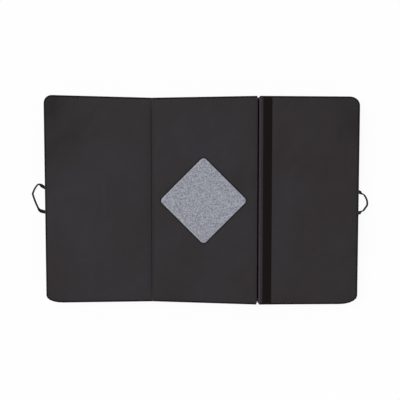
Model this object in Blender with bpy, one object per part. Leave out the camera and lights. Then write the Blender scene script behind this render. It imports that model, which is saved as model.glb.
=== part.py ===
"""Three-panel bouldering crash pad, lying open and flat.

Metres, +Z up. +X runs along the open length towards the panel with the hook-and-loop strip, +Y runs
across to the rear. The origin is on the floor, at the middle of the open length and width.
"""

import math

import bmesh
import bpy
from mathutils import Vector

# Open pad
OPEN_LENGTH = 1.788
OPEN_WIDTH = 1.198
THICKNESS = 0.102
LEFT_PANEL_LENGTH = 0.608
RIGHT_PANEL_LENGTH = 0.570
CREASE_GAP = 0.006
OPEN_FOLD_GAP = 0.007
CLEARANCE = 0.0003

# How far the cover draws in from the widest line, at each end of each panel
LEFT_END_FRONT_DRAW = 0.0105
CREASE_REAR_DRAW = 0.0165
CREASE_FRONT_DRAW = 0.019
OPEN_FOLD_REAR_DRAW = 0.006
RIGHT_END_REAR_DRAW = 0.010
RIGHT_END_FRONT_DRAW = 0.0035

# Corners in plan: length along X, then along Y
REAR_LEFT_CORNER = (0.045, 0.047)
FRONT_LEFT_CORNER = (0.096, 0.044)
REAR_RIGHT_CORNER = (0.057, 0.051)
FRONT_RIGHT_CORNER = (0.102, 0.051)
FOLD_CORNER = (0.006, 0.006)
CREASE_CORNER = (0.003, 0.003)
SMALLEST_CORNER = 0.001
CORNER_STEPS = 6

# Cover
SHEET_THICKNESS = 0.0012
WALL_THICKNESS = 0.0015
CROWN = 0.005
CROWN_REACH = 0.060
CROWN_RING_SHARES = (0.0, 0.07, 0.22, 0.50, 1.0)
PIPING_DIAMETER = 0.008
PIPING_PROUD = 0.0005
SEAM_GAP = 0.0008
WALL_DRAW = 0.005
WALL_BULGE = 0.002
WALL_ROW_SHARES = ((0.0, 0.0), (0.30, 1.0), (0.62, 1.0), (0.92, 0.0))

# Foam
BASE_FOAM = 0.012
CORE_FOAM = 0.068

# Hook-and-loop strip beside the open fold, and the bound edge on the fold's own side
STRIP_WIDTH = 0.050
STRIP_THICKNESS = 0.0018
STRIP_FROM_FOLD = 0.0225
EDGE_TAPE_WIDTH = 0.0125
EDGE_TAPE_THICKNESS = 0.0008
EDGE_TAPE_ROW_SHARES = (0.22, 1.0)
TRIM_LIFT = 0.0006

# Carpet patch
PATCH_SIDE = 0.357
PATCH_CORNER = 0.024
PATCH_THICKNESS = 0.004
PATCH_EDGE = 0.0008
PATCH_FROM_CENTRE = (0.0096, 0.0005)
PATCH_TURN = math.radians(45)
PATCH_CORNER_STEPS = 4
PATCH_EDGE_STEPS = 2

# Webbing handles
HANDLE_WIDTH = 0.020
HANDLE_THICKNESS = 0.002
HANDLE_END_THICKNESS = 0.0006
HANDLE_TAPER = 0.0015
HANDLE_TWIST = 0.042
HANDLE_LEAN_SHARE = 0.08
TAB_GAP = 0.0007
LEFT_HANDLE_REACH = 0.076
LEFT_HANDLE_BASE = 0.139
LEFT_HANDLE_MIDDLE = 0.005
LEFT_HANDLE_DROOP = math.radians(10)
RIGHT_HANDLE_REACH = 0.083
RIGHT_HANDLE_BASE = 0.121
RIGHT_HANDLE_MIDDLE = -0.010
RIGHT_HANDLE_DROOP = math.radians(38)
# Each loop as shares of its reach and of half its base, from its rear end to its front end
LEFT_LOOP_SHARES = (
    (0.0, 1.0), (0.17, 1.10), (0.35, 1.21), (0.52, 1.25), (0.67, 1.12), (0.81, 0.91),
    (0.95, 0.59), (0.97, 0.42), (0.76, -0.22), (0.50, -0.78), (0.28, -0.94), (0.0, -1.0),
)
RIGHT_LOOP_SHARES = (
    (0.0, 1.0), (0.25, 0.90), (0.54, 0.75), (0.76, 0.51), (0.91, 0.26), (1.0, -0.04),
    (0.97, -0.32), (0.76, -0.58), (0.50, -0.85), (0.23, -0.96), (0.0, -1.0),
)
LOOP_STEPS = 4

# Carrying harness, under the left panel
SHOULDER_SPREAD = 0.180
SHOULDER_ANGLE = math.radians(4)
SHOULDER_TOP = 0.350
SHOULDER_PAD_LENGTH = 0.420
SHOULDER_PAD_WIDTH = 0.062
SHOULDER_PAD_THICKNESS = 0.0070
SHOULDER_PAD_CROWN = 0.00075
SHOULDER_PAD_CORNER = 0.020
SHOULDER_PAD_SLOPE = 0.010
SHOULDER_PAD_STEPS = 4
WEBBING_WIDTH = 0.025
WEBBING_THICKNESS = 0.0015
WEBBING_LENGTH = 0.230
WEBBING_TAIL = 0.050
LOCK_LENGTH = 0.034
LOCK_WIDTH = 0.034
LOCK_THICKNESS = 0.0042
LOCK_BAR = 0.0045
ANCHOR_LENGTH = 0.040
ANCHOR_WIDTH = 0.044
GROOVE_MARGIN = 0.005

# Closing straps, tucked under the left panel's end
CLOSING_WIDTH = 0.050
CLOSING_LENGTH = 0.400
CLOSING_THICKNESS = 0.0020
CLOSING_FROM_END = 0.018
CLOSING_FROM_MIDDLE = 0.430
CLOSING_AXIS_HEIGHT = 0.0008
CLOSING_START = 0.002
HOOK_LENGTH = 0.080
HOOK_THICKNESS = 0.0012
FLOOR_CLEARANCE = 0.0005

CUT_OVERRUN = 0.001

# Places worked out from the sizes above
HALF_LENGTH = OPEN_LENGTH / 2
HALF_WIDTH = OPEN_WIDTH / 2
CREASE_X = -HALF_LENGTH + LEFT_PANEL_LENGTH + CREASE_GAP / 2
OPEN_FOLD_X = HALF_LENGTH - RIGHT_PANEL_LENGTH - OPEN_FOLD_GAP / 2
SHEET_EDGE_TOP = THICKNESS - CROWN
PIPING_RADIUS = PIPING_DIAMETER / 2
PIPING_HEIGHT = SHEET_EDGE_TOP + PIPING_PROUD - PIPING_RADIUS
PIPING_SEAT = PIPING_HEIGHT - PIPING_RADIUS - CLEARANCE
SHEET_INSET = PIPING_DIAMETER + SEAM_GAP
WALL_BOTTOM = SHEET_THICKNESS + CLEARANCE
WALL_TOP = SHEET_EDGE_TOP - SHEET_THICKNESS - CLEARANCE
CORE_INSET = WALL_DRAW + WALL_THICKNESS + CLEARANCE
TOP_FOAM_INSET = SHEET_INSET + WALL_THICKNESS + CLEARANCE
BASE_FOAM_TOP = WALL_BOTTOM + BASE_FOAM
CORE_FOAM_LOW = BASE_FOAM_TOP + CLEARANCE
TOP_FOAM_LOW = CORE_FOAM_LOW + CORE_FOAM + CLEARANCE
SHOULDER_GROOVE = FLOOR_CLEARANCE + SHOULDER_PAD_THICKNESS + SHOULDER_PAD_CROWN + CLEARANCE
CLOSING_LOW = FLOOR_CLEARANCE + HOOK_THICKNESS + CLEARANCE
CLOSING_GROOVE = CLOSING_LOW + CLOSING_THICKNESS + CLEARANCE


class Panel:
    """One padded panel: its limits in plan, the sides that show outside, and its corners."""

    def __init__(self, name, left, right, rear, front, outer_sides, corners):
        self.name = name
        self.left = left
        self.right = right
        self.rear = rear
        self.front = front
        self.outer_sides = outer_sides
        self.corners = corners

    def edge(self, side, x):
        """Distance of the rear or front edge from the pad's long middle line, at x."""
        at_left, at_right = self.rear if side > 0 else self.front
        share = (x - self.left) / (self.right - self.left)
        return at_left + (at_right - at_left) * share

    def outline(self, inset, fold_inset=CLEARANCE):
        """Points round the panel, anticlockwise from the front edge's right end.

        The sides that show outside draw in by inset, and the sides at a fold by fold_inset.
        """
        points = []
        for corner in ("front_right", "rear_right", "rear_left", "front_left"):
            points += self.corner_points(corner, inset, fold_inset)
        return points

    def corner_points(self, corner, inset, fold_inset=CLEARANCE):
        """The elliptical arc round one corner, in the outline's direction."""
        end, flank = corner.split("_")[1], corner.split("_")[0]
        sign_x = 1 if end == "right" else -1
        sign_y = 1 if flank == "rear" else -1
        inset_x = inset if end in self.outer_sides else fold_inset
        along_x, along_y = self.corners[corner]
        along_x = max(along_x - inset_x, SMALLEST_CORNER)
        along_y = max(along_y - inset, SMALLEST_CORNER)
        side_x = (self.right if sign_x > 0 else self.left) - sign_x * inset_x
        points = []
        for step in range(CORNER_STEPS):
            angle = math.pi / 2 * step / (CORNER_STEPS - 1)
            x = side_x - sign_x * along_x * (1 - math.cos(angle))
            y = self.edge(sign_y, x) - inset - along_y * (1 - math.sin(angle))
            points.append((x, sign_y * y))
        return points if sign_x == sign_y else points[::-1]


LEFT_PANEL = Panel(
    "left",
    left=-HALF_LENGTH,
    right=CREASE_X - CREASE_GAP / 2,
    rear=(HALF_WIDTH, HALF_WIDTH - CREASE_REAR_DRAW),
    front=(HALF_WIDTH - LEFT_END_FRONT_DRAW, HALF_WIDTH - CREASE_FRONT_DRAW),
    outer_sides=("left",),
    corners={
        "front_right": CREASE_CORNER, "rear_right": CREASE_CORNER,
        "rear_left": REAR_LEFT_CORNER, "front_left": FRONT_LEFT_CORNER,
    },
)
MIDDLE_PANEL = Panel(
    "middle",
    left=CREASE_X + CREASE_GAP / 2,
    right=OPEN_FOLD_X - OPEN_FOLD_GAP / 2,
    rear=(HALF_WIDTH - CREASE_REAR_DRAW, HALF_WIDTH - OPEN_FOLD_REAR_DRAW),
    front=(HALF_WIDTH - CREASE_FRONT_DRAW, HALF_WIDTH),
    outer_sides=(),
    corners={
        "front_right": FOLD_CORNER, "rear_right": FOLD_CORNER,
        "rear_left": CREASE_CORNER, "front_left": CREASE_CORNER,
    },
)
RIGHT_PANEL = Panel(
    "right",
    left=OPEN_FOLD_X + OPEN_FOLD_GAP / 2,
    right=HALF_LENGTH,
    rear=(HALF_WIDTH - OPEN_FOLD_REAR_DRAW, HALF_WIDTH - RIGHT_END_REAR_DRAW),
    front=(HALF_WIDTH, HALF_WIDTH - RIGHT_END_FRONT_DRAW),
    outer_sides=("right",),
    corners={
        "front_right": FRONT_RIGHT_CORNER, "rear_right": REAR_RIGHT_CORNER,
        "rear_left": FOLD_CORNER, "front_left": FOLD_CORNER,
    },
)
PANELS = (LEFT_PANEL, MIDDLE_PANEL, RIGHT_PANEL)


def clear_scene():
    """Empties the scene that the script starts in."""
    for item in list(bpy.data.objects):
        bpy.data.objects.remove(item, do_unlink=True)


def linear(channel):
    """One sRGB channel, 0 to 255, as linear light."""
    value = channel / 255
    if value <= 0.04045:
        return value / 12.92
    return ((value + 0.055) / 1.055) ** 2.4


def finish(name, colour, roughness, metallic=0.0):
    """A material from its sRGB colour, roughness and metallic value."""
    made = bpy.data.materials.new(name)
    made.use_nodes = True
    shader = made.node_tree.nodes["Principled BSDF"]
    red, green, blue = (linear(channel) for channel in colour)
    shader.inputs["Base Color"].default_value = (red, green, blue, 1.0)
    shader.inputs["Roughness"].default_value = roughness
    shader.inputs["Metallic"].default_value = metallic
    return made


def make_finishes():
    """Every finish of the pad, by name."""
    return {
        "cover": finish("cover_nylon", (54, 50, 52), 0.62),
        "base": finish("base_nylon", (34, 33, 35), 0.70),
        "piping": finish("piping_tape", (26, 24, 24), 0.60),
        "edge_tape": finish("bound_edge_tape", (70, 66, 76), 0.55),
        "hinge": finish("hinge_nylon", (44, 41, 43), 0.70),
        "strip": finish("hook_and_loop", (26, 23, 23), 0.90),
        "carpet": finish("carpet_felt", (147, 149, 157), 0.95),
        "webbing": finish("webbing_nylon", (21, 21, 21), 0.65),
        "closed_foam": finish("closed_cell_foam", (60, 62, 66), 0.85),
        "open_foam": finish("open_cell_foam", (214, 204, 170), 0.95),
        "buckle": finish("acetal_buckle", (18, 18, 19), 0.40),
    }


def new_object(name, mesh, material):
    """Links a mesh to the scene as a named object with its finish."""
    made = bpy.data.objects.new(name, mesh)
    bpy.context.scene.collection.objects.link(made)
    mesh.materials.append(material)
    return made


def mesh_from(name, build):
    """A mesh made by a function that fills a bmesh, with its faces turned outwards."""
    shape = bmesh.new()
    build(shape)
    bmesh.ops.recalc_face_normals(shape, faces=shape.faces)
    mesh = bpy.data.meshes.new(name)
    shape.to_mesh(mesh)
    shape.free()
    return mesh


def loft(name, rings, material, ring_closed=False):
    """A solid through rings of equal count, capped at both ends or closed on itself."""

    def build(shape):
        rows = [[shape.verts.new(point) for point in ring] for ring in rings]
        pairs = list(zip(rows, rows[1:]))
        if ring_closed:
            pairs.append((rows[-1], rows[0]))
        for lower, upper in pairs:
            for index in range(len(lower)):
                after = (index + 1) % len(lower)
                shape.faces.new((lower[index], lower[after], upper[after], upper[index]))
        if not ring_closed:
            shape.faces.new(rows[0][::-1])
            shape.faces.new(rows[-1])

    return new_object(name, mesh_from(name, build), material)


def at_height(points, height):
    """Plan points lifted to one height."""
    return [(x, y, height) for x, y in points]


def prism(name, points, low, high, material):
    """A plan outline stood up between two heights."""
    return loft(name, [at_height(points, low), at_height(points, high)], material)


def rectangle(x_start, x_end, y_start, y_end):
    """The corners of a rectangle in plan."""
    return [(x_start, y_start), (x_end, y_start), (x_end, y_end), (x_start, y_end)]


def ribbon(name, path, half_widths, thickness, material):
    """A strip of webbing along a path, with its half-width vector at each point."""

    def build(shape):
        left = [shape.verts.new(Vector(point) - half) for point, half in zip(path, half_widths)]
        right = [shape.verts.new(Vector(point) + half) for point, half in zip(path, half_widths)]
        for index in range(len(path) - 1):
            shape.faces.new((left[index], left[index + 1], right[index + 1], right[index]))

    made = new_object(name, mesh_from(name, build), material)
    thicken = made.modifiers.new("webbing_thickness", "SOLIDIFY")
    thicken.thickness = thickness
    thicken.offset = 0.0
    return made


def cutter(name, points, low, high):
    """A hidden prism that a Boolean reads, placed like any other solid."""
    made = prism(name, points, low, high, bpy.data.materials["base_nylon"])
    made.hide_render = True
    made.display_type = "WIRE"
    return made


def combine(target, tool, operation):
    """Adds a Boolean to an object."""
    step = target.modifiers.new(tool.name, "BOOLEAN")
    step.operation = operation
    step.solver = "EXACT"
    step.object = tool


def crown_height(distance):
    """How far the top sheet has risen at a distance in from its own edge."""
    share = min(distance / CROWN_REACH, 1.0)
    return CROWN * math.sqrt(1 - (1 - share) ** 2)


def crowned_rings(panel, inset, fold_inset, edge_top):
    """Rings from a panel's edge in to the flat middle of its crown."""
    rings = []
    for share in CROWN_RING_SHARES:
        distance = share * CROWN_REACH
        points = panel.outline(inset + distance, fold_inset + distance)
        rings.append(at_height(points, edge_top + crown_height(distance)))
    return rings


def make_top_sheet(panel, finishes):
    """The crowned fabric that the climber lands on."""
    upper = crowned_rings(panel, SHEET_INSET, CLEARANCE, SHEET_EDGE_TOP)
    lower = crowned_rings(panel, SHEET_INSET, CLEARANCE, SHEET_EDGE_TOP - SHEET_THICKNESS)
    loft(f"{panel.name}_top_sheet", lower[::-1] + upper, finishes["cover"])


def make_side_wall(panel, finishes):
    """The band between the base and the top sheet. It leans in behind the piping at its top."""
    height = PIPING_SEAT - WALL_BOTTOM
    outer = []
    for height_share, bulge_share in WALL_ROW_SHARES:
        points = panel.outline(WALL_DRAW - WALL_BULGE * bulge_share)
        outer.append(at_height(points, WALL_BOTTOM + height * height_share))
    outer.append(at_height(panel.outline(SHEET_INSET), PIPING_SEAT))
    outer.append(at_height(panel.outline(SHEET_INSET), WALL_TOP))
    inner = []
    for height_share, _ in WALL_ROW_SHARES[::-1]:
        points = panel.outline(WALL_DRAW + WALL_THICKNESS, CLEARANCE + WALL_THICKNESS)
        inner.append(at_height(points, WALL_BOTTOM + height * height_share))
    top_points = panel.outline(SHEET_INSET + WALL_THICKNESS, CLEARANCE + WALL_THICKNESS)
    inner = [at_height(top_points, WALL_TOP), at_height(top_points, PIPING_SEAT)] + inner
    loft(f"{panel.name}_side_wall", outer + inner, finishes["cover"], ring_closed=True)


def make_base_cover(panel, finishes):
    """The hard-wearing fabric under the panel, which meets the ground."""
    points = panel.outline(WALL_DRAW)
    return prism(f"{panel.name}_base_cover", points, 0, SHEET_THICKNESS, finishes["base"])


def make_foam(panel, finishes):
    """The three foam layers inside the cover. Returns the base layer."""
    inner_fold = CLEARANCE + WALL_THICKNESS + CLEARANCE
    points = panel.outline(CORE_INSET, inner_fold)
    base = prism(
        f"{panel.name}_base_foam", points, WALL_BOTTOM, BASE_FOAM_TOP, finishes["closed_foam"]
    )
    prism(
        f"{panel.name}_core_foam", points, CORE_FOAM_LOW, CORE_FOAM_LOW + CORE_FOAM,
        finishes["open_foam"],
    )
    edge_top = SHEET_EDGE_TOP - SHEET_THICKNESS - CLEARANCE
    rings = crowned_rings(panel, TOP_FOAM_INSET, inner_fold, edge_top)
    lowest = at_height(panel.outline(TOP_FOAM_INSET, inner_fold), TOP_FOAM_LOW)
    loft(f"{panel.name}_top_foam", [lowest] + rings, finishes["closed_foam"])
    return base


def make_piping(name, points, finishes):
    """Round piping along plan points, in the seam between the top sheet and the wall."""
    curve = bpy.data.curves.new(name, "CURVE")
    curve.dimensions = "3D"
    curve.bevel_depth = PIPING_RADIUS
    curve.bevel_resolution = 2
    curve.use_fill_caps = True
    line = curve.splines.new("POLY")
    line.points.add(len(points) - 1)
    for point, (x, y) in zip(line.points, points):
        point.co = (x, y, PIPING_HEIGHT, 1)
    new_object(name, curve, finishes["piping"])


def piping_point(panel, side, x):
    """The piping's place at x along a panel's rear edge, side 1, or its front edge, side -1."""
    return (x, side * (panel.edge(side, x) - PIPING_RADIUS))


def end_panel_piping(panel, fold_x, first_side, corners, finishes):
    """One run of piping, from the fold round the panel's two outer corners and back to the fold."""
    points = [piping_point(panel, first_side, fold_x)]
    for corner in corners:
        points += panel.corner_points(corner, PIPING_RADIUS)
    points.append(piping_point(panel, -first_side, fold_x))
    make_piping(f"{panel.name}_piping", points, finishes)


def make_all_piping(finishes):
    """The runs round the two end panels, and the two straight runs along the middle panel."""
    left_fold = LEFT_PANEL.right - CREASE_CORNER[0]
    right_fold = RIGHT_PANEL.left + FOLD_CORNER[0]
    end_panel_piping(LEFT_PANEL, left_fold, 1, ("rear_left", "front_left"), finishes)
    end_panel_piping(RIGHT_PANEL, right_fold, -1, ("front_right", "rear_right"), finishes)
    ends = (MIDDLE_PANEL.left + CREASE_CORNER[0], MIDDLE_PANEL.right - FOLD_CORNER[0])
    for side, flank in ((1, "rear"), (-1, "front")):
        points = [piping_point(MIDDLE_PANEL, side, x) for x in ends]
        make_piping(f"middle_{flank}_piping", points, finishes)


def make_hinge_strips(finishes):
    """The fabric that joins the panels: across the top at the crease, across the base at the fold."""
    half = CREASE_GAP / 2 - CLEARANCE
    reach = HALF_WIDTH - CREASE_FRONT_DRAW - PIPING_DIAMETER
    dip = CREASE_GAP / 2
    rows = []
    for height in (SHEET_EDGE_TOP, SHEET_EDGE_TOP - SHEET_THICKNESS):
        rows.append([(CREASE_X - half, height), (CREASE_X, height - dip), (CREASE_X + half, height)])
    section = rows[0] + rows[1][::-1]
    rings = [[(x, y, z) for x, z in section] for y in (-reach, reach)]
    loft("top_hinge_strip", rings, finishes["hinge"])

    half = OPEN_FOLD_GAP / 2 - CLEARANCE
    reach = HALF_WIDTH - OPEN_FOLD_REAR_DRAW - WALL_DRAW
    points = rectangle(OPEN_FOLD_X - half, OPEN_FOLD_X + half, -reach, reach)
    prism("bottom_hinge_strip", points, 0, SHEET_THICKNESS, finishes["hinge"])


def sheet_top(panel, x, y):
    """Height of a panel's top sheet at a place near its left side, rear or front."""
    from_fold = x - panel.left - CLEARANCE
    side = 1 if y > 0 else -1
    from_edge = panel.edge(side, x) - abs(y) - SHEET_INSET
    return SHEET_EDGE_TOP + crown_height(max(min(from_fold, from_edge), 0))


def make_cross_strip(name, columns, row_shares, thickness, material):
    """A strip that lies across the right panel's crown, from its front edge to its rear edge.

    The columns are distances from the panel's fold side. The row shares are of the crown's reach, in
    from the front edge and then from the rear edge.
    """
    panel = RIGHT_PANEL
    rows = [(-1, share) for share in row_shares]
    rows += [(1, share) for share in row_shares[::-1]]
    rings = []
    for side, share in rows:
        lower, upper = [], []
        for column in columns:
            x = panel.left + column
            y = side * (panel.edge(side, x) - SHEET_INSET - CROWN_REACH * share)
            height = sheet_top(panel, x, y) + TRIM_LIFT
            lower.append((x, y, height))
            upper.append((x, y, height + thickness))
        rings.append(lower + upper[::-1])
    return loft(name, rings, material)


def make_right_panel_trim(finishes):
    """The hook-and-loop strip and the bound edge beside the open fold."""
    columns = (STRIP_FROM_FOLD, STRIP_FROM_FOLD + STRIP_WIDTH)
    make_cross_strip(
        "hook_and_loop_strip", columns, CROWN_RING_SHARES, STRIP_THICKNESS, finishes["strip"]
    )
    bend = CROWN_REACH * CROWN_RING_SHARES[1]
    columns = (CLEARANCE, CLEARANCE + bend, CLEARANCE + EDGE_TAPE_WIDTH)
    make_cross_strip(
        "bound_fold_edge", columns, EDGE_TAPE_ROW_SHARES, EDGE_TAPE_THICKNESS, finishes["edge_tape"]
    )


def upright_edges(shape):
    """The edges of a box that stand up along Z."""

    def stands_up(edge):
        run = edge.verts[1].co - edge.verts[0].co
        return abs(run.z) > run.xy.length

    return [edge for edge in shape.edges if stands_up(edge)]


def make_carpet_patch(finishes):
    """The carpet square for wiping shoes, turned 45 degrees on the middle panel."""

    def build(shape):
        bmesh.ops.create_cube(shape, size=1)
        bmesh.ops.scale(shape, vec=(PATCH_SIDE, PATCH_SIDE, PATCH_THICKNESS), verts=shape.verts)
        bmesh.ops.bevel(
            shape, geom=upright_edges(shape), offset=PATCH_CORNER, offset_type="OFFSET",
            segments=PATCH_CORNER_STEPS, affect="EDGES", profile=0.5, material=-1,
        )
        top = [edge for edge in shape.edges if min(vert.co.z for vert in edge.verts) > 0]
        bmesh.ops.bevel(
            shape, geom=top, offset=PATCH_EDGE, offset_type="OFFSET",
            segments=PATCH_EDGE_STEPS, affect="EDGES", profile=0.5, material=-1,
        )

    made = new_object("carpet_patch", mesh_from("carpet_patch", build), finishes["carpet"])
    made.location = (*PATCH_FROM_CENTRE, THICKNESS + CLEARANCE + PATCH_THICKNESS / 2)
    made.rotation_euler = (0, 0, PATCH_TURN)


def smooth_path(points, steps):
    """A smooth curve through points, with a number of steps between each pair."""
    padded = [2 * points[0] - points[1], *points, 2 * points[-1] - points[-2]]
    path = []
    for index in range(1, len(padded) - 2):
        before, start, end, after = padded[index - 1:index + 3]
        for step in range(steps):
            t = step / steps
            path.append(0.5 * (
                2 * start + (end - before) * t
                + (2 * before - 5 * start + 4 * end - after) * t ** 2
                + (3 * start - before - 3 * end + after) * t ** 3
            ))
    path.append(points[-1])
    return path


def handle_pivot(end):
    """The line that a handle swings on, just outside the piping and under its middle."""
    return Vector((
        end * (HALF_LENGTH + HANDLE_TAPER),
        0,
        PIPING_SEAT - HANDLE_THICKNESS / 2,
    ))


def make_handle(side_name, end, reach, base, middle, droop, loop_shares, finishes):
    """A webbing loop that leaves the seam flat and turns on edge, with its two tabs."""
    pivot = handle_pivot(end)
    corners = []
    for out_share, along_share in loop_shares:
        out = reach * out_share
        x = end * out * math.cos(droop)
        corners.append(Vector((x, middle + base / 2 * along_share, -out * math.sin(droop))))
    path = smooth_path(corners, LOOP_STEPS)
    flat_run = Vector((end * HANDLE_TAPER, 0, 0))
    path = [path[0]] + [path[0] + flat_run] + path[1:-1] + [path[-1] + flat_run, path[-1]]

    travelled = [0.0]
    for start, stop in zip(path, path[1:]):
        travelled.append(travelled[-1] + (stop - start).length)
    half_widths = []
    for index, distance in enumerate(travelled):
        before, after = path[max(index - 1, 0)], path[min(index + 1, len(path) - 1)]
        along = (after - before).normalized()
        nearest = min(distance, travelled[-1] - distance)
        turned = min(nearest / HANDLE_TWIST, 1.0)
        turned = turned * turned * (3 - 2 * turned)
        outwards = Vector((0, 0, 1)).cross(along).normalized() * end
        upright = (Vector((0, 0, 1)) - along * along.z).normalized()
        on_edge = upright * (1 - HANDLE_LEAN_SHARE) + outwards * HANDLE_LEAN_SHARE
        in_seam = Vector((0, -end if distance == nearest else end, 0))
        across = in_seam * (1 - turned) + on_edge.normalized() * turned
        half_widths.append(across.normalized() * HANDLE_WIDTH / 2)
    half_widths[0] = half_widths[1] = Vector((0, -end * HANDLE_WIDTH / 2, 0))
    half_widths[-1] = half_widths[-2] = Vector((0, end * HANDLE_WIDTH / 2, 0))

    made = ribbon(f"{side_name}_handle", path, half_widths, HANDLE_THICKNESS, finishes["webbing"])
    thinned = made.vertex_groups.new(name="full_thickness")
    last = len(path) - 1
    for index in range(len(path)):
        weight = HANDLE_END_THICKNESS / HANDLE_THICKNESS if index in (0, last) else 1.0
        thinned.add([index, index + len(path)], weight, "REPLACE")
    made.modifiers["webbing_thickness"].vertex_group = thinned.name
    made.location = pivot

    for along_share, flank in ((1, "rear"), (-1, "front")):
        inner = end * (HALF_LENGTH - WALL_DRAW + CLEARANCE)
        outer = pivot.x - end * TAB_GAP
        y = middle + base / 2 * along_share
        points = rectangle(inner, outer, y - HANDLE_WIDTH / 2, y + HANDLE_WIDTH / 2)
        low, high = pivot.z - HANDLE_THICKNESS / 2, pivot.z + HANDLE_THICKNESS / 2
        prism(f"{side_name}_handle_{flank}_tab", points, low, high, finishes["webbing"])


def shoulder_outline(extra):
    """Plan of a shoulder strap's groove in the strap's own frame, from its top end down."""
    wide = SHOULDER_PAD_WIDTH / 2 + GROOVE_MARGIN + extra
    narrow = ANCHOR_WIDTH / 2 + GROOVE_MARGIN + extra
    top = GROOVE_MARGIN + extra
    shoulder = -SHOULDER_PAD_LENGTH - GROOVE_MARGIN - extra
    bottom = -SHOULDER_PAD_LENGTH - WEBBING_LENGTH - GROOVE_MARGIN - extra
    return [
        (wide, shoulder), (wide, top), (-wide, top), (-wide, shoulder),
        (-narrow, shoulder), (-narrow, bottom), (narrow, bottom), (narrow, shoulder),
    ]


def closing_outline(extra):
    """Plan of a closing strap's groove, in the strap's own frame, from its hinge along +X."""
    half = CLOSING_WIDTH / 2 + GROOVE_MARGIN + extra
    start = -GROOVE_MARGIN - extra
    end = CLOSING_START + CLOSING_LENGTH + GROOVE_MARGIN + extra
    return rectangle(start, end, -half, half)


def groove(base_cover, base_foam, name, outline, depth, location, turn):
    """Presses a shallow groove up into the base cover and the foam over it."""
    foam_margin = SHEET_THICKNESS + CLEARANCE
    steps = (
        ("tray", SHEET_THICKNESS, SHEET_THICKNESS / 2, depth + SHEET_THICKNESS, base_cover, "UNION"),
        ("hollow", 0, -CUT_OVERRUN, depth, base_cover, "DIFFERENCE"),
        ("foam", foam_margin, 0, depth + foam_margin, base_foam, "DIFFERENCE"),
    )
    for label, extra, low, high, target, operation in steps:
        tool = cutter(f"{name}_{label}_cutter", outline(extra), low, high)
        tool.location = location
        tool.rotation_euler = (0, 0, turn)
        combine(target, tool, operation)


def make_shoulder_pad(side_name, material):
    """The padded stretch of one shoulder strap, with its fuller face down."""

    def build(shape):
        bmesh.ops.create_cube(shape, size=1)
        size = (SHOULDER_PAD_WIDTH, SHOULDER_PAD_LENGTH, SHOULDER_PAD_THICKNESS)
        bmesh.ops.scale(shape, vec=size, verts=shape.verts)
        bmesh.ops.bevel(
            shape, geom=upright_edges(shape), offset=SHOULDER_PAD_CORNER, offset_type="OFFSET",
            segments=SHOULDER_PAD_STEPS, affect="EDGES", profile=0.5, material=-1,
        )
        lowest = min(shape.faces, key=lambda face: face.calc_center_median().z)
        bmesh.ops.inset_region(shape, faces=[lowest], thickness=SHOULDER_PAD_SLOPE)
        bmesh.ops.translate(shape, vec=(0, 0, -SHOULDER_PAD_CROWN), verts=lowest.verts)

    return new_object(f"{side_name}_shoulder_pad", mesh_from("shoulder_pad", build), material)


def make_ladder_lock(side_name, material):
    """A flat buckle of three bars, with a window on each side of its middle bar."""

    def build(shape):
        bmesh.ops.create_cube(shape, size=1)
        bmesh.ops.scale(shape, vec=(LOCK_WIDTH, LOCK_LENGTH, LOCK_THICKNESS), verts=shape.verts)

    lock = new_object(f"{side_name}_ladder_lock", mesh_from("ladder_lock", build), material)
    half_x = WEBBING_WIDTH / 2 + CLEARANCE
    deep = LOCK_THICKNESS / 2 + CUT_OVERRUN
    for label, direction in (("upper", 1), ("lower", -1)):
        near = direction * LOCK_BAR / 2
        far = direction * (LOCK_LENGTH / 2 - LOCK_BAR)
        points = rectangle(-half_x, half_x, near, far)
        tool = cutter(f"{side_name}_lock_{label}_cutter", points, -deep, deep)
        tool.parent = lock
        combine(lock, tool, "DIFFERENCE")
    return lock


def make_shoulder_webbing(side_name, lock_y, lock_z, anchor_y, material):
    """Webbing from its anchor, over the lock's middle bar, down a window and back under it as a tail."""
    half_web = WEBBING_THICKNESS / 2
    over = lock_z + LOCK_THICKNESS / 2 + CLEARANCE + half_web
    under = lock_z - LOCK_THICKNESS / 2 - CLEARANCE - half_web
    turn_y = lock_y + LOCK_BAR / 2 + CLEARANCE + half_web
    profile = ((anchor_y, over), (turn_y, over), (turn_y, under), (lock_y - WEBBING_TAIL, under))
    path = [Vector((0, y, z)) for y, z in profile]
    half_widths = [Vector((WEBBING_WIDTH / 2, 0, 0))] * len(path)
    webbing = ribbon(f"{side_name}_shoulder_webbing", path, half_widths, WEBBING_THICKNESS, material)
    webbing.modifiers["webbing_thickness"].use_even_offset = True
    return webbing


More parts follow.
